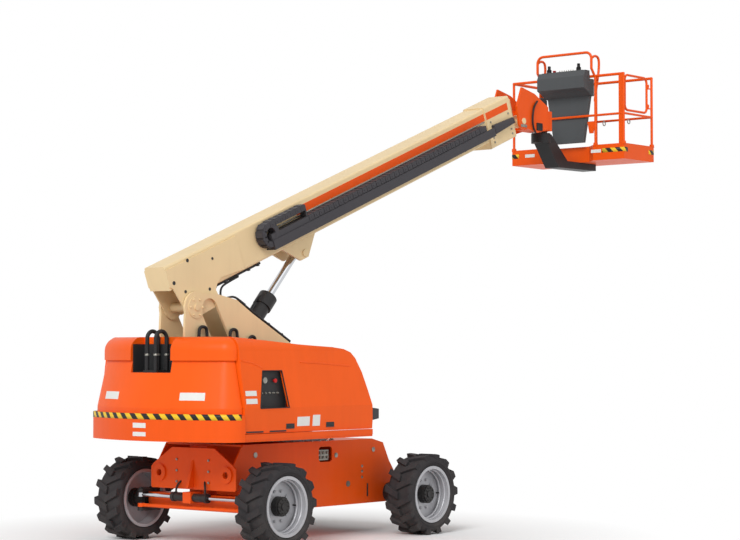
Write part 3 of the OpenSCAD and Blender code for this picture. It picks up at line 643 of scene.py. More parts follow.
for side, label in SIDES:
    start_round(0.055, 0.012, (-WHEEL_X, side * KINGPIN_Y, 0.586), UP)
    grow_face(UP, 0.012, 0.005)
    cap = soften(0.002)
    holes = ring_places((-WHEEL_X, side * KINGPIN_Y, 0.592), UP, 0.047, 6)
    bolts = place_copies(make_bolt(0.007, 0.006), holes)
    finish_piece(join_all([cap, bolts]), "kingpin_cap_" + label, "knuckle_" + label, "black_paint")
    nuts = place_copies(make_bolt(0.016, 0.012), [((ROD_X, side * KINGPIN_Y, 0.537), (0, 0, 0))])
    finish_piece(nuts, "steer_nut_" + label, "knuckle_" + label, "steel", zinc)
    pipe = start_line([(ROD_X, side * 0.22, 0.558), (ROD_X, side * 0.22, 0.60), (-1.43, side * 0.20, 0.66),
                       (-1.412, side * 0.18, 0.68), (-1.40, side * 0.18, 0.69)], 0.011)
    union = place_copies(make_bolt(0.018, 0.016), [((ROD_X, side * 0.22, 0.556), (0, 0, 0))])
    finish_piece(join_all([pipe, union]), "steer_pipe_" + label, "chassis", "black_paint")
print("kingpin caps and pipes:", len(SIDES), "each")

# %% [markdown]
# ## Valve blocks and frame bolts
# A valve block with two rows of unions sits behind the opening in each chassis side, a full circle of
# bolts holds the slew ring, and six bolts hold the plate at the steering end. Unions could be turned
# parts of their own, but at this size a hexagon with a stud reads as one, so they are copies of the bolt.

# %% Valve blocks, slew bolts and end bolts
SLEW_BOLTS = 32
for side, label in SIDES:
    out = (0, side, 0)
    start_block((0.18, 0.09, 0.12), (0.12, side * 0.505, 0.93))
    inset_face(out, 0.012, -0.004)
    block = soften(0.004)
    places = [((0.06 + 0.06 * column, side * 0.548, 0.905 + 0.05 * row), turn_to(out))
              for column in range(3) for row in range(2)]
    unions = place_copies(make_bolt(0.016, 0.014), places)
    finish_piece(join_all([block, unions]), "valve_block_" + label, "chassis", "steel", zinc)
slew_bolts = place_copies(make_bolt(0.014, 0.014), ring_places((0, 0, 1.09), UP, 0.60, SLEW_BOLTS))
finish_piece(slew_bolts, "slew_bolts", "chassis", "steel", zinc)
end_places = [((-1.41, y, z), turn_to((-1, 0, 0))) for y in (-0.24, 0.24) for z in (0.68, 0.80, 0.92)]
end_bolts = place_copies(make_bolt(0.015, 0.012), end_places)
finish_piece(end_bolts, "end_bolts", "chassis", "steel", zinc)
print("slew bolts:", SLEW_BOLTS, "end bolts:", len(end_places))

# %% [markdown]
# ## Plugs and slots
# Round plugs close holes in the chassis sides, and there is a narrow slot low on each side. Holes could
# be cut into the solids, but a shallow plug with a sunk middle looks the same, and a thin dark strip that
# paints the shade inside the slot is enough for it.

# %% Plugs and slots in the chassis sides
plugs = []
slot_shades = []
for side in (1, -1):
    out = (0, side, 0)
    for x, z, radius in ((-1.042, 0.976, 0.030), (0.299, 0.924, 0.028), (0.961, 0.964, 0.028),
                         (0.509, 0.591, 0.034), (0.758, 0.781, 0.016), (0.758, 0.723, 0.016),
                         (0.758, 0.655, 0.016)):
        start_round(radius, 0.010, (x, side * 0.582, z), out)
        inset_face(out, radius * 0.3, -0.003)
        plugs.append(soften(0.002))
    # A thin dark strip paints the shade inside the slot.
    start_block((0.024, 0.004, 0.15), (0.857, side * 0.5805, 0.505))
    slot_shades.append(soften(0.001, 1))
print("plugs:", len(plugs))
finish_piece(join_all(plugs), "chassis_plugs", "chassis", "steel", zinc)
finish_piece(join_all(slot_shades), "chassis_slots", "chassis", "black_paint", dark_panel)

# %% [markdown]
# ## Tape round the tail
# Warning tape runs round the counterweight. It could be cut from a copy of the solid, but a line in plan
# that follows the tail and its two corners, stood on edge and given a skin, has clean ends and an even
# height.

# %% Tail tape
CORNER = (-1.7234, 0.8, 0.3)
TAPE_OFF = 0.0012
TAPE_SKIN = 0.0016


def start_tape(points, middle, height, thickness):
    """A strip on edge along points in plan, like tape round a curved wall."""
    clear_selection()
    line = bpy.data.curves.new("tape", "CURVE")
    line.dimensions = "2D"
    line.fill_mode = "NONE"
    line.extrude = height / 2
    spline = line.splines.new("POLY")
    spline.points.add(len(points) - 1)
    for knot, point in zip(spline.points, points):
        knot.co = (point[0], point[1], 0, 1)
    holder = bpy.data.objects.new("tape", line)
    holder.location.z = middle
    scene.collection.objects.link(holder)
    make_active(holder)
    bpy.ops.object.convert(target="MESH")
    settle()
    skin = bpy.context.object.modifiers.new("skin", "SOLIDIFY")
    skin.thickness = thickness
    skin.offset = 0
    bpy.ops.object.modifier_apply(modifier=skin.name)
    return bpy.context.object


def tail_line():
    """The tail's outline in plan, from one rear corner round to the other."""
    turn = math.degrees(math.atan2(CORNER[1], CORNER[0]))
    points = []
    for angle in range(105, int(turn), 6):
        a = math.radians(angle)
        points.append((CORNER[0] + (CORNER[2] + TAPE_OFF) * math.cos(a),
                       CORNER[1] + (CORNER[2] + TAPE_OFF) * math.sin(a)))
    steps = 40
    for step in range(steps + 1):
        a = math.radians(turn + (360 - 2 * turn) * step / steps)
        points.append(((TAIL_R + TAPE_OFF) * math.cos(a), (TAIL_R + TAPE_OFF) * math.sin(a)))
    return points + [(x, -y) for x, y in reversed(points[:-steps - 1])]


tape = start_tape(tail_line(), 1.411, 0.062, TAPE_SKIN)
finish_piece(tape, "tail_tape", "turntable", "black_plastic", tail_tape)
print("tape runs through", len(tail_line()), "points")

# %% [markdown]
# ## Notch in the rear cover
# The notch in the rear cover is lined with a dark box that paints the shade inside it, and zinc bands hold
# the hoses that rise out of it. The lining could be three plates and a floor, but a box that loses its top
# and its rear face and gets a wall thickness has no gaps at its corners.

# %% Notch lining of painted shade, and hose bands
# A dark box of painted shade lines the notch and stands for the shade inside it.
start_block((0.17, 0.592, 0.30), (-1.943, 0, 2.024))
shade_lining = bpy.context.object
for way in (UP, (-1, 0, 0)):
    pick_faces(way)
    bpy.ops.mesh.delete(type="FACE")
    bpy.ops.object.mode_set(mode="OBJECT")
wall = shade_lining.modifiers.new("wall", "SOLIDIFY")
wall.thickness = 0.006
wall.offset = -1
bpy.ops.object.modifier_apply(modifier=wall.name)
finish_piece(shade_lining, "notch_liner", "turntable", "black_plastic", dark_panel)
bands = []
for y in (-0.07, 0.06):
    for x in (-2.045, -1.885):
        start_round(0.0255, 0.022, (x, y, 2.06), UP, sides=20)
        bands.append(soften(0.003))
print("hose bands:", len(bands))
finish_piece(join_all(bands), "hose_bands", "turntable", "steel", zinc)

# %% [markdown]
# ## Ground controls
# Behind the window of the right hood is the station from which the boom can be moved from the ground: a
# dark plate with a gauge, a row of toggles and a red stop button. They could be flat shapes on the plate,
# but the window shows them at a slant, so each is a small round whose face is sunk or drawn out.

# %% Ground control station
PANEL_Y = -0.985
out = (0, -1, 0)
start_block((0.50, 0.008, 0.40), (-1.28, PANEL_Y - 0.004, 1.70))
inset_face(out, 0.012, -0.003)
finish_piece(soften(0.002), "control_plate", "turntable", "grey_plastic", dark_panel)
start_round(0.034, 0.026, (-1.36, PANEL_Y - 0.018, 1.79), out)
inset_face(out, 0.006, -0.005)
finish_piece(soften(0.002), "control_gauge", "turntable", "steel", zinc)
toggles = []
for index in range(5):
    x = -1.40 + 0.062 * index
    start_round(0.013, 0.010, (x, PANEL_Y - 0.012, 1.655), out, sides=6)
    grow_face(out, 0.004, 0.016)
    toggles.append(soften(0.0015, 1))
print("ground toggles:", len(toggles))
finish_piece(join_all(toggles), "control_toggles", "turntable", "steel", zinc)
start_round(0.016, 0.020, (-1.20, PANEL_Y - 0.016, 1.785), out, sides=20)
grow_face(out, 0.0, 0.006)
taper_face(out, (1.6, 1.0, 1.6))
grow_face(out, 0.004, 0.006)
finish_piece(soften(0.004), "stop_button", "turntable", "grey_plastic", red_button)

# %% [markdown]
# ## Window gasket
# A rubber gasket runs round the window in the right hood. It could be drawn from the edge of the opening,
# but that has four straight sides, so a line through its corners is enough. The hood's side leans, and a
# function gives its half width at a height.

# %% Window gasket
def hood_y(z):
    """Half width of the hood's outer face at a height."""
    if z < 1.5:
        return 1.07 + (z - 1.235) * 0.0755
    return 1.09 - 0.15 * (z - 1.5)


rim_line = [(-1.51, 1.5), (-1.06, 1.5), (-1.12, 1.89), (-1.42, 1.89), (-1.51, 1.5)]
gasket = start_line([(x, -hood_y(z), z) for x, z in rim_line], 0.008, smooth=False)
finish_piece(gasket, "window_gasket", "hood_right", "black_rubber")
print("gasket corners:", len(rim_line) - 1)

# %% [markdown]
# ## Latches and drain slots
# Each hood is held shut by two sunk latches near its lower edge, and has two drain slots further to the
# rear, each a thin dark strip that paints the shade inside the slot. A latch could be one plate, but a
# plate with a sunk middle and a small tapered paddle in it shows how it is pulled.

# %% Latches and slots on the hoods
LATCH_Z = 1.30
SLOT_Z = 1.252
for side, label in SIDES:
    out = (0, side, 0)
    body = "hood_" + label
    latches_and_slot_shades = []
    # Thin dark strips paint the shade inside the drain slots.
    for x in (-1.58, -1.22):
        start_block((0.26, 0.006, 0.016), (x, side * (hood_y(SLOT_Z) + 0.001), SLOT_Z))
        latches_and_slot_shades.append(soften(0.001, 1))
    for x in (-1.03, -0.38):
        start_block((0.13, 0.010, 0.055), (x, side * (hood_y(LATCH_Z) + 0.002), LATCH_Z))
        inset_face(out, 0.008, -0.005)
        latches_and_slot_shades.append(soften(0.003))
        start_block((0.085, 0.010, 0.024), (x, side * (hood_y(LATCH_Z) + 0.003), LATCH_Z + 0.003))
        taper_face(out, (0.9, 1.0, 0.7))
        latches_and_slot_shades.append(soften(0.002))
    finish_piece(join_all(latches_and_slot_shades), "hood_latches_" + label, body, "black_plastic", dark_panel)
    print("latch pieces and slots on", body + ":", len(latches_and_slot_shades))

# %% [markdown]
# ## Blank plates
# A few blank plates are stuck on the hoods, the rear cover and the tail. A flat plate would cut into the
# curved covers or stand off them. So each starts as a grid that a Shrinkwrap modifier lays on the solid,
# and Solidify then gives it a thickness.

# %% Plates on the covers and the tail
PLATE_OFF = 0.002
PLATE_SKIN = 0.0016


def start_label(size, place, way, solid):
    """A thin plate that clings to a curved solid: a grid laid on its surface and given a thickness."""
    clear_selection()
    bpy.ops.mesh.primitive_grid_add(
        x_subdivisions=12, y_subdivisions=6, size=1, location=place, rotation=turn_to(way))
    label = bpy.context.object
    label.scale = (size[0], size[1], 1)
    settle()
    cling = label.modifiers.new("cling", "SHRINKWRAP")
    cling.target = solid
    cling.wrap_mode = "ABOVE_SURFACE"
    cling.offset = PLATE_OFF
    bpy.ops.object.modifier_apply(modifier=cling.name)
    skin = label.modifiers.new("skin", "SOLIDIFY")
    skin.thickness = PLATE_SKIN
    bpy.ops.object.modifier_apply(modifier=skin.name)
    return label


for side, label in SIDES:
    body = "hood_" + label
    plates = []
    for x, z, wide, high in ((-0.82, 1.345, 0.20, 0.10), (-0.61, 1.35, 0.12, 0.12),
                             (-1.635, 1.658, 0.17, 0.055), (-1.635, 1.575, 0.17, 0.055)):
        place = (x, side * (hood_y(z) + 0.01), z)
        plates.append(start_label((wide, high), place, (0, side, 0), nodes[body]))
    finish_piece(join_all(plates), "blank_plates_" + label, body, "grey_plastic", white_plate)
    print("plates on", body + ":", len(plates))
plates = []
for angle in (-163.5, 163.5):
    way = (math.cos(math.radians(angle)), math.sin(math.radians(angle)), 0)
    place = (2.135 * way[0], 2.135 * way[1], 1.625)
    plates.append(start_label((0.30, 0.085), place, way, nodes["rear_cover"]))
finish_piece(join_all(plates), "cover_plates", "turntable", "grey_plastic", white_plate)
plates = []
for z, high in ((1.315, 0.052), (1.223, 0.045)):
    plates.append(start_label((0.195, high), (-2.205, 0.02, z), (-1, 0, 0), nodes["counterweight"]))
finish_piece(join_all(plates), "tail_plates", "turntable", "grey_plastic", white_plate)
print("plates on the tail:", len(plates))

# %% [markdown]
# ## Beads and flanges
# Two pressed beads stiffen each hood's side, and a flange turned in at its rear edge closes the gap to
# the rear cover. The beads could be pressed into the shell, but a round line half sunk in its face gives
# the same edge of light. The flange is three thin blocks, which lean with the hood's side.

# %% Beads and flanges on the hoods
for side, label in SIDES:
    body = "hood_" + label
    beads = []
    for bead in ([(-0.81, 1.981), (-0.49, 1.966), (-0.24, 1.951), (0.016, 1.933)],
                 [(-1.735, 1.997), (-1.637, 1.985), (-1.527, 1.963), (-1.426, 1.921)]):
        beads.append(start_line([(x, side * (hood_y(z) - 0.002), z) for x, z in bead], 0.009))
    finish_piece(join_all(beads), "hood_beads_" + label, body, "orange_cover")
    flange = []
    for low, high, lean in ((1.242, 1.50, -4.3), (1.50, 2.0, 8.5), (2.0, 2.10, 0.0)):
        middle = (low + high) / 2
        across = hood_y(middle) - 0.056
        turn = (math.radians(lean) * side, 0, 0)
        start_block((0.008, 0.085, (high - low) * 1.01), (-1.744, side * across, middle), turn)
        flange.append(soften(0.002, 1))
    finish_piece(join_all(flange), "hood_flange_" + label, body, "orange_cover")
    print("beads on", body + ":", len(beads))

# %% [markdown]
# ## Tower
# Bolts hold the bosses of the boom's pivot, and clips hold the hose that runs down the tower's edge. The
# clips could stand level, but they are turned to the slope of the edge, so that they sit square on the
# hose.

# %% Boss bolts and hose clips
EDGE_SLOPE = math.radians(28)
PIVOT = Vector((-1.57, 0, 2.57))
boss_places = []
for side in (1, -1):
    boss_places += ring_places((PIVOT.x, side * 0.208, PIVOT.z), (0, side, 0), 0.092, 6)
boss_bolts = place_copies(make_bolt(0.012, 0.010), boss_places)
finish_piece(boss_bolts, "boss_bolts", "turntable", "cream_paint")
clips = []
for x, z in ((-0.80, 2.606), (-0.56, 2.475), (-0.40, 2.393), (-0.18, 2.278)):
    start_block((0.030, 0.028, 0.042), (x, -0.185, z), (0, EDGE_SLOPE, 0))
    taper_face((math.sin(EDGE_SLOPE), 0, math.cos(EDGE_SLOPE)), (0.75, 0.75, 1.0))
    clips.append(soften(0.004))
finish_piece(join_all(clips), "tower_clips", "turntable", "black_plastic", dark_panel)
print("boss bolts:", len(boss_places))

# %% [markdown]
# ## Hose arches
# Three hoses rise in arches on the right of the tower. Each could be half a ring with two straight legs,
# but a curve through six points makes the legs and the arch in one.

# %% Hose arches beside the tower
ARCH_Y = -0.235
ARCH_FOOT = 2.05
arches = []
for x, top, reach in ((-1.50, 2.36, 0.065), (-1.02, 2.335, 0.06), (-0.72, 2.26, 0.05)):
    line = [(x - reach, ARCH_Y, ARCH_FOOT), (x - reach, ARCH_Y, top - 0.06), (x - reach * 0.7, ARCH_Y, top),
            (x + reach * 0.7, ARCH_Y, top), (x + reach, ARCH_Y, top - 0.06), (x + reach, ARCH_Y, ARCH_FOOT)]
    arches.append(start_line(line, 0.018))
print("arches:", len(arches))
finish_piece(join_all(arches), "tower_lines", "turntable", "black_rubber")

# %% [markdown]
# ## Boom
# An orange band runs along both sides of the boom's base section, bolts hold the wear pads near its front
# end, and plugs close holes in the neck. The pieces could be modelled level and then turned as a whole.
# Here places are given along the boom from its pivot and square to it, which is easier to measure, and
# one small function turns them into places in the machine's frame.

# %% Bands, bolts and plugs on the boom
BOOM_TURN = math.radians(21.1)
BOOM_SLOPE = (0, -BOOM_TURN, 0)


def on_boom(along, square, across):
    """A place along the boom from its pivot, square to it and across the machine."""
    return (PIVOT.x + along * math.cos(BOOM_TURN) - square * math.sin(BOOM_TURN), across,
            PIVOT.z + along * math.sin(BOOM_TURN) + square * math.cos(BOOM_TURN))


for side, label in SIDES:
    out = (0, side, 0)
    start_block((3.87, 0.003, 0.091), on_boom(3.895, 0.4415, side * 0.1508), BOOM_SLOPE)
    band = soften(0.001, 1)
    start_block((0.50, 0.003, 0.091), on_boom(6.10, 0.4415, side * 0.1658), BOOM_SLOPE)
    tip = soften(0.001, 1)
    finish_piece(join_all([band, tip]), "boom_band_" + label, "boom_base", "orange_paint")
    places = [(on_boom(along, square, side * 0.165), turn_to(out))
              for along in (5.92, 6.33) for square in (0.08, 0.14, 0.35)]
    pads = place_copies(make_bolt(0.014, 0.012), places)
    finish_piece(pads, "pad_bolts_" + label, "boom_base", "steel", zinc)
    plugs = []
    for along, square, radius in ((0.085, 0.505, 0.020), (0.456, 0.398, 0.016), (-0.192, 0.345, 0.022),
                                  (-0.06, 0.20, 0.018), (0.30, 0.10, 0.018)):
        start_round(radius, 0.006, on_boom(along, square, side * 0.1662), out, sides=20)
        inset_face(out, 0.005, -0.002)
        plugs.append(soften(0.001, 1))
    finish_piece(join_all(plugs), "neck_plugs_" + label, "boom_base", "black_plastic", dark_panel)
    print("neck plugs on the", label + ":", len(plugs))

# %% [markdown]
# ## Hose across the pivot
# Clips hold a hose along the boom's underside, and another hose crosses from the boom to the tower. If it
# rode on one of them, it would be torn from the other when the boom lifts. So it rides on neither: it is
# coated, and its place goes into its mesh.

# %% Clips and crossing hose
clips = []
for along in (0.60, 0.80, 1.00, 1.16):
    start_block((0.028, 0.040, 0.040), on_boom(along, 0.086, -0.122), BOOM_SLOPE)
    clips.append(soften(0.004))
finish_piece(join_all(clips), "boom_clips", "boom_base", "black_plastic", dark_panel)
HOSE_Y = -0.136
bend = [on_boom(0.80, 0.068, HOSE_Y), on_boom(0.62, 0.066, HOSE_Y), on_boom(0.50, 0.05, HOSE_Y),
        (-1.13, HOSE_Y, 2.70), (-1.10, HOSE_Y, 2.665), (-1.03, -0.15, 2.685), (-0.95, -0.165, 2.70),
        (-0.86, -0.165, 2.665), (-0.78, -0.165, 2.62)]
hose = coat_piece(start_line(bend, 0.012), "neck_hose", "black_rubber")
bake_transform(hose)
print("hose runs through", len(bend), "points")

# %% [markdown]
# ## Cable track
# The track that feeds lines to the platform is a chain of plastic links lying in a tray. Links arrayed
# along a curve would be bent with it, so one link is modelled, with a top plate, a side plate and a pin.
# Its copies follow the short upper run, go round the bend at the rear and lie along the tray.

# %% Links of the cable track
LINK_PITCH = 0.092
start_block((0.072, 0.106, 0.010), (0, 0, 0.004))
inset_face(UP, 0.010, -0.003)
link_top = soften(0.002, 1)
start_block((0.080, 0.006, 0.060), (0, -0.0555, -0.030))
link_side = soften(0.002, 1)
start_round(0.012, 0.006, (0, -0.060, -0.030), (0, -1, 0), sides=12)
link_pin = soften(0.001, 1)
link = join_all([link_top, link_side, link_pin])
LINK_Y = -0.2205
BEND = (1.34, 0.37, 0.14)
places = [(on_boom(1.95 - LINK_PITCH * index, 0.51, LINK_Y), BOOM_SLOPE) for index in range(7)]
for index in range(1, 5):
    angle = math.radians(90 + 36 * index)
    place = on_boom(BEND[0] + BEND[2] * math.cos(angle), BEND[1] + BEND[2] * math.sin(angle), LINK_Y)
    places.append((place, (0, math.pi / 2 - angle - BOOM_TURN, 0)))
places += [(on_boom(2.06 + LINK_PITCH * index, 0.37, LINK_Y), BOOM_SLOPE) for index in range(39)]
links = place_copies(link, places)
finish_piece(links, "track_links", "boom_base", "black_plastic")
print("links:", len(places))

# %% [markdown]
# ## Line and end of the track
# A steel line runs beside the track, and the track ends at the front in a plastic block. The block could
# be left square, but its front face is scaled down, as the lines leave it in a narrower bundle.

# %% Track line and end
LINE_STOPS = (1.40, 3.0, 5.80)
line = start_line([on_boom(along, 0.385, -0.160) for along in LINE_STOPS], 0.0095)
finish_piece(line, "track_line", "boom_base", "steel", zinc)
start_block((0.46, 0.055, 0.12), on_boom(6.15, 0.245, -0.194), BOOM_SLOPE)
taper_face((math.cos(BOOM_TURN), 0, math.sin(BOOM_TURN)), (1.0, 0.7, 0.6))
finish_piece(soften(0.006), "track_end", "boom_base", "black_plastic")
print("track line:", round(LINE_STOPS[-1] - LINE_STOPS[0], 2), "m long")

# %% [markdown]
# ## Lift cylinder
# A pipe runs along the barrel to the rod end, held by two saddles, and a ring of screws holds the gland.
# As on the boom, places are given along the cylinder from its foot and square to it, because the cylinder
# stands at a slant.

# %% Pipe, saddles and gland screws
LIFT_FOOT = Vector((-1.31, 0, 1.5))
LIFT_WAY = Vector((0.672881, 0, 0.739751))
LIFT_SIDE = Vector((-0.739751, 0, 0.672881))
LIFT_SLOPE = (0, -math.atan2(LIFT_WAY.z, LIFT_WAY.x), 0)


def on_lift(along, square):
    """A place along the lift cylinder from its foot and square to it."""
    return tuple(LIFT_FOOT + LIFT_WAY * along + LIFT_SIDE * square)


pipe = start_line([on_lift(0.16, 0.09), on_lift(0.16, 0.118), on_lift(0.22, 0.118), on_lift(1.40, 0.118),
                   on_lift(1.55, 0.118), on_lift(1.56, 0.10)], 0.012)
saddles = [pipe]
for along in (0.45, 1.10):
    start_block((0.05, 0.07, 0.034), on_lift(along, 0.112), LIFT_SLOPE)
    saddles.append(soften(0.006))
finish_piece(join_all(saddles), "lift_pipe", "lift_barrel", "black_paint")
screws = place_copies(make_bolt(0.010, 0.010), ring_places(on_lift(1.64, 0), LIFT_WAY, 0.085, 10))
finish_piece(screws, "gland_screws", "lift_barrel", "steel", zinc)
print("saddles:", len(saddles) - 1)

# %% [markdown]
# ## Platform floor
# The floor is a steel grating. Its bars could be copied one by one, but a grid whose edges a Wireframe
# modifier turns into bars gives them in one step. There is a wide sheet at the front and a small one in
# each rear corner.

# %% Floor grating
BAR_GAP = 0.035
sheets = []
for x, y, deep, wide in ((6.26, 0.0, 0.55, 1.80), (5.90, 0.675, 0.14, 0.45), (5.90, -0.675, 0.14, 0.45)):
    clear_selection()
    bpy.ops.mesh.primitive_grid_add(
        x_subdivisions=round(deep / BAR_GAP), y_subdivisions=round(wide / BAR_GAP), size=1,
        location=(x, y, 4.7225))
    bpy.context.object.scale = (deep, wide, 1)
    settle()
    bars = bpy.context.object.modifiers.new("bars", "WIREFRAME")
    bars.thickness = 0.005
    bars.use_even_offset = False
    bpy.ops.object.modifier_apply(modifier=bars.name)
    sheets.append(bpy.context.object)
print("sheets of grating:", len(sheets))
finish_piece(join_all(sheets), "floor_grating", "platform", "steel", grating)

# %% [markdown]
# ## Toe boards
# Warning tape is wrapped round the rear corners of the toe boards and marks the front ends of their
# sides, two blank plates sit at the rear, and the rails' posts stand in short sockets. The tape is made
# like the one on the tail, and a socket is a block whose top is drawn in.

# %% Tape, plates and feet on the toe boards
TOE_X = 5.8085
TOE_Y = 0.9165
TOE_Z = 4.787
TOE_TAPE = 0.058
plates = []
for side, label, start, middle in ((1, "left", 0.80, 0.616), (-1, "right", 0.565, 0.467)):
    corner = [(TOE_X, side * start), (TOE_X, side * TOE_Y), (5.90, side * TOE_Y)]
    tapes = [start_tape(corner, TOE_Z, TOE_TAPE, TAPE_SKIN)]
    tapes.append(start_tape([(6.42, side * TOE_Y), (6.55, side * TOE_Y)], TOE_Z, TOE_TAPE, TAPE_SKIN))
    finish_piece(join_all(tapes), "toe_tape_" + label, "platform", "black_plastic", toe_tape)
    start_block((0.003, 0.16, 0.045), (5.809, side * middle, 4.784))
    inset_face((-1, 0, 0), 0.005, -0.0006)
    plates.append(soften(0.001, 1))
finish_piece(join_all(plates), "toe_plates", "platform", "grey_plastic", white_plate)
feet = []
for x, y in ((5.829, 0.896), (5.829, -0.896), (6.531, 0.896), (6.531, -0.896), (5.829, 0.45), (5.829, -0.45),
             (6.531, 0.0)):
    start_block((0.052, 0.052, 0.045), (x, y, 4.878))
    taper_face(UP, (0.85, 0.85, 1.0))
    feet.append(soften(0.004))
print("post feet:", len(feet))
finish_piece(join_all(feet), "post_feet", "platform", "orange_paint")

# %% [markdown]
# ## Braces and gussets
# Two bent bars brace the guard at the console, and a gusset sits below each of them on the rails. A bent
# bar could be pieced together from straight tubes and elbows, but a curve makes it in one, as for the
# pipes. A gusset is a thin block that is tapered downwards.

# %% Braces and gussets on the rails
braces = []
for side in (1, -1):
    y = side * 0.44
    line = [(5.752, y, 6.03), (5.80, y, 6.075), (5.90, y, 6.075), (5.935, y, 6.02), (5.93, y, 5.90),
            (5.89, y, 5.72), (5.845, y, 5.56), (5.831, y, 5.46)]
    braces.append(start_line(line, 0.017))
    start_block((0.012, 0.13, 0.16), (5.829, side * 0.385, 5.11))
    taper_face((0, 0, -1), (1.0, 0.5, 1.0))
    braces.append(soften(0.004))
print("braces and gussets:", len(braces))
finish_piece(join_all(braces), "rail_braces", "platform", "orange_paint")

# %% [markdown]
# ## Gate latch, rings and foot switch
# The gate has a latch, rings for safety lines hang at the front rail, and a foot switch stands on the
# floor. The switch could be a plain box, but its top is drawn in and sunk, so that it reads as a pedal.

# %% Gate latch, rings and foot switch
start_block((0.050, 0.030, 0.100), (5.885, -0.858, 5.56))
grow_face((0, 1, 0), 0.008, 0.012)
finish_piece(soften(0.004), "gate_latch", "gate", "black_plastic", dark_panel)
rings = []
for y in (-0.55, -0.15, 0.15, 0.55):
    rings.append(start_ring(0.030, 0.007, (6.50, y, 5.235), (math.radians(90), 0, 0), steps=24, sides=8))
print("line rings:", len(rings))
finish_piece(join_all(rings), "line_rings", "platform", "steel", zinc)
start_block((0.16, 0.20, 0.06), (6.14, -0.05, 4.757))
taper_face(UP, (0.8, 0.9, 1.0))
inset_face(UP, 0.012, -0.006)
finish_piece(soften(0.006), "foot_switch", "platform", "black_plastic", dark_panel)

# %% [markdown]
# ## Platform controls
# The console's top carries two joysticks in rubber boots on a dark plate. Boot, stick and knob could be
# three pieces, but they are drawn out of one round: its upper face is drawn in, then the stick and its
# knob grow out of it.

# %% Console plate and joysticks
DECK_X = 5.74
DECK_Z = 5.88
start_block((0.095, 0.66, 0.006), (DECK_X, 0, DECK_Z + 0.002))
inset_face(UP, 0.008, -0.002)
finish_piece(soften(0.0015, 1), "console_plate", "platform", "grey_plastic", dark_panel)
sticks = []
for y in (-0.24, 0.24):
    start_round(0.034, 0.022, (DECK_X, y, DECK_Z + 0.014), UP, sides=20)
    taper_face(UP, (0.5, 0.5, 1.0))
    grow_face(UP, 0.006, 0.050)
    grow_face(UP, 0.0, 0.004)
    taper_face(UP, (1.9, 1.9, 1.0))
    grow_face(UP, 0.002, 0.022)
    sticks.append(soften(0.003))
print("joysticks:", len(sticks))
finish_piece(join_all(sticks), "joysticks", "platform", "black_rubber")

# %% [markdown]
# ## Toggles and stop button
# Between the joysticks are a row of toggles and a red stop button. A toggle is a hexagon nut with a lever
# drawn out of it. The button could be one round, but its head is wider than its neck, so a face is scaled
# up before it is drawn out.

# %% Toggles and stop button on the console
toggles = []
for index in range(7):
    start_round(0.011, 0.008, (5.755, -0.14 + 0.036 * index, DECK_Z + 0.008), UP, sides=6)
    grow_face(UP, 0.004, 0.018)
    toggles.append(soften(0.001, 1))
print("console toggles:", len(toggles))
finish_piece(join_all(toggles), "console_toggles", "platform", "steel", zinc)
start_round(0.014, 0.018, (DECK_X, 0.155, DECK_Z + 0.013), UP, sides=20)
grow_face(UP, 0.0, 0.004)
taper_face(UP, (1.7, 1.7, 1.0))
grow_face(UP, 0.004, 0.008)
finish_piece(soften(0.003), "console_stop", "platform", "grey_plastic", red_button)

# %% [markdown]
# ## Platform support
# Keeper plates lock the level pin on both sides, and a hose runs in a bow down the right cheek beside a
# small rubber block. The keepers could be left out of such a view, but the pin's end looks bare without
# them.

# %% Pin keepers and support line
NOSE = (4.50763, 5.09738)
for side, label in SIDES:
    out = (0, side, 0)
    start_block((0.13, 0.008, 0.036), (NOSE[0], side * 0.209, NOSE[1] - 0.062))
    keeper = soften(0.002)
    places = [((NOSE[0] + dx, side * 0.212, NOSE[1] - 0.062), turn_to(out)) for dx in (-0.042, 0.042)]
    bolts = place_copies(make_bolt(0.011, 0.009), places)
    finish_piece(join_all([keeper, bolts]), "pin_keeper_" + label, "platform_support", "steel", zinc)
line = [(4.84, -0.19, 5.39), (4.78, -0.222, 5.375), (4.70, -0.225, 5.28), (4.678, -0.225, 5.124),
        (4.70, -0.225, 5.02), (4.75, -0.222, 4.975), (4.79, -0.19, 4.97)]
lines = [start_line(line, 0.013)]
start_block((0.13, 0.020, 0.10), (4.86, -0.211, 5.05))
inset_face((0, -1, 0), 0.015, -0.006)
lines.append(soften(0.008))
finish_piece(join_all(lines), "support_line", "platform_support", "black_rubber")
print("keeper plates:", len(SIDES))

# %% [markdown]
# ## Rotator
# The rotator that turns the platform has a bolted cap and a bolted flange. They could be one piece, but
# the cap stays with the support while the flange's bolts turn with the platform, so they are two.

# %% Rotator cap and flange bolts
ROTATOR_X = 5.19
CAP_BOLTS = 8
FLANGE_BOLTS = 10
start_round(0.074, 0.026, (ROTATOR_X, 0, 5.451), UP)
grow_face(UP, 0.016, 0.008)
cap = soften(0.004)
bolts = place_copies(make_bolt(0.008, 0.007), ring_places((ROTATOR_X, 0, 5.464), UP, 0.066, CAP_BOLTS))
finish_piece(join_all([cap, bolts]), "rotator_cap", "platform_support", "black_paint")
flange = place_copies(make_bolt(0.010, 0.007), ring_places((ROTATOR_X, 0, 4.9997), UP, 0.113, FLANGE_BOLTS))
finish_piece(flange, "rotator_bolts", "platform", "steel", zinc)
print("cap bolts:", CAP_BOLTS, "flange bolts:", FLANGE_BOLTS)

# %% [markdown]
# ## Floor
# The machine stands on a pale floor that runs out into a white background. A white background alone would
# leave it without a shadow. So near the machine the floor keeps the shadow, and away from it the floor
# turns to plain white for the camera.

# %% Studio floor
def seen_rays(tree):
    """One for rays from the camera, also by way of a mirror or glass, and nought for light on its way."""
    path = tree.nodes.new("ShaderNodeLightPath")
    seen = add_math(tree, "MAXIMUM", path.outputs["Is Camera Ray"], path.outputs["Is Glossy Ray"])
    return add_math(tree, "MAXIMUM", seen, path.outputs["Is Transmission Ray"])


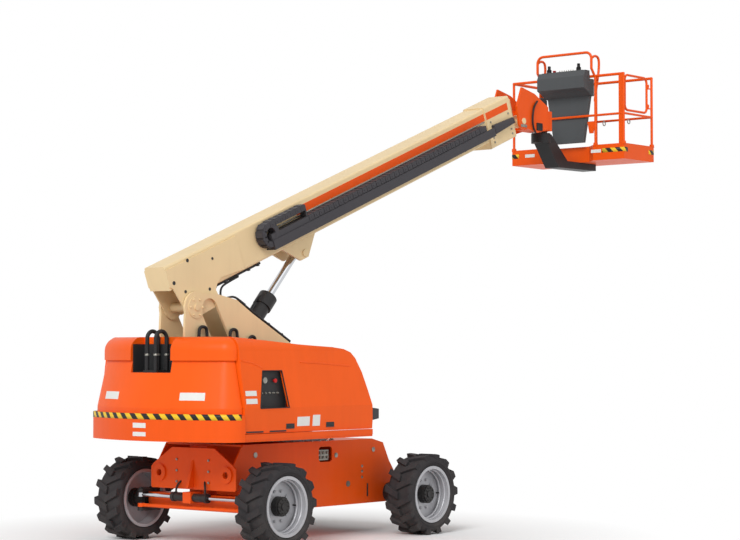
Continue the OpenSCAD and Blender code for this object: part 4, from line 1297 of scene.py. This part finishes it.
def mix_shaders(tree, factor, first, second):
    """The first shader where the factor is nought, the second where it is one."""
    mix = tree.nodes.new("ShaderNodeMixShader")
    tree.links.new(factor, mix.inputs["Fac"])
    tree.links.new(first, mix.inputs[1])
    tree.links.new(second, mix.inputs[2])
    return mix.outputs[0]


clear_selection()
bpy.ops.mesh.primitive_plane_add(size=400, location=(0, 0, 0))
floor = bpy.context.object
floor.name = "studio_floor"
floor_material, tree, shader = new_material("studio_floor")
shader.inputs["Base Color"].default_value = (0.9, 0.9, 0.9, 1)
shader.inputs["Roughness"].default_value = 0.9
shader.inputs["Specular IOR Level"].default_value = 0.1
spot = split_place(tree)
square_x = add_math(tree, "POWER", spot["X"], 2.0)
square_y = add_math(tree, "POWER", spot["Y"], 2.0)
reach = add_math(tree, "POWER", add_math(tree, "ADD", square_x, square_y), 0.5)
far = add_math(tree, "MULTIPLY_ADD", reach, 0.45, -0.95, clamp=True)
glow = tree.nodes.new("ShaderNodeEmission")
white = add_math(tree, "MULTIPLY", far, seen_rays(tree))
surface = mix_shaders(tree, white, shader.outputs[0], glow.outputs[0])
tree.links.new(surface, tree.nodes["Material Output"].inputs["Surface"])
floor.data.materials.append(floor_material)
print("floor:", floor.name)

# %% [markdown]
# ## Sky
# The sky lights the machine evenly from all sides. One white background could do this alone, but at full
# strength it would wash out the shadows. So it lights at half strength, and shows as plain white behind
# the machine.

# %% White sky
def add_sky(tree, strength):
    """A white background of a given strength."""
    sky = tree.nodes.new("ShaderNodeBackground")
    sky.inputs["Color"].default_value = (1, 1, 1, 1)
    sky.inputs["Strength"].default_value = strength
    return sky.outputs[0]


world = bpy.data.worlds.new("white_sky")
scene.world = world
world.use_nodes = True
tree = world.node_tree
tree.nodes.clear()
output = tree.nodes.new("ShaderNodeOutputWorld")
surface = mix_shaders(tree, seen_rays(tree), add_sky(tree, 0.5), add_sky(tree, 1.0))
tree.links.new(surface, output.inputs["Surface"])
print("sky:", world.name)

# %% [markdown]
# ## Lamps
# A broad soft lamp shines down on the machine's rear, over the camera's left shoulder, and a weaker and
# softer one lights its right side. One lamp could do, but the sides that it misses would then be flat, as
# only the sky would light them.

# %% Lamps
def add_sun(name, strength, direction, angle):
    """A lamp that shines along a direction. The angle makes its shadows soft."""
    lamp = bpy.data.lights.new(name, "SUN")
    lamp.energy = strength
    lamp.angle = math.radians(angle)
    holder = bpy.data.objects.new(name, lamp)
    holder.rotation_euler = Vector(direction).to_track_quat("-Z", "Y").to_euler()
    scene.collection.objects.link(holder)


add_sun("key_lamp", 1.9, (0.80, 0.33, -0.62), 25)
add_sun("fill_lamp", 0.45, (0.15, 0.95, -0.30), 60)
print("lamps:", len(bpy.data.lights))
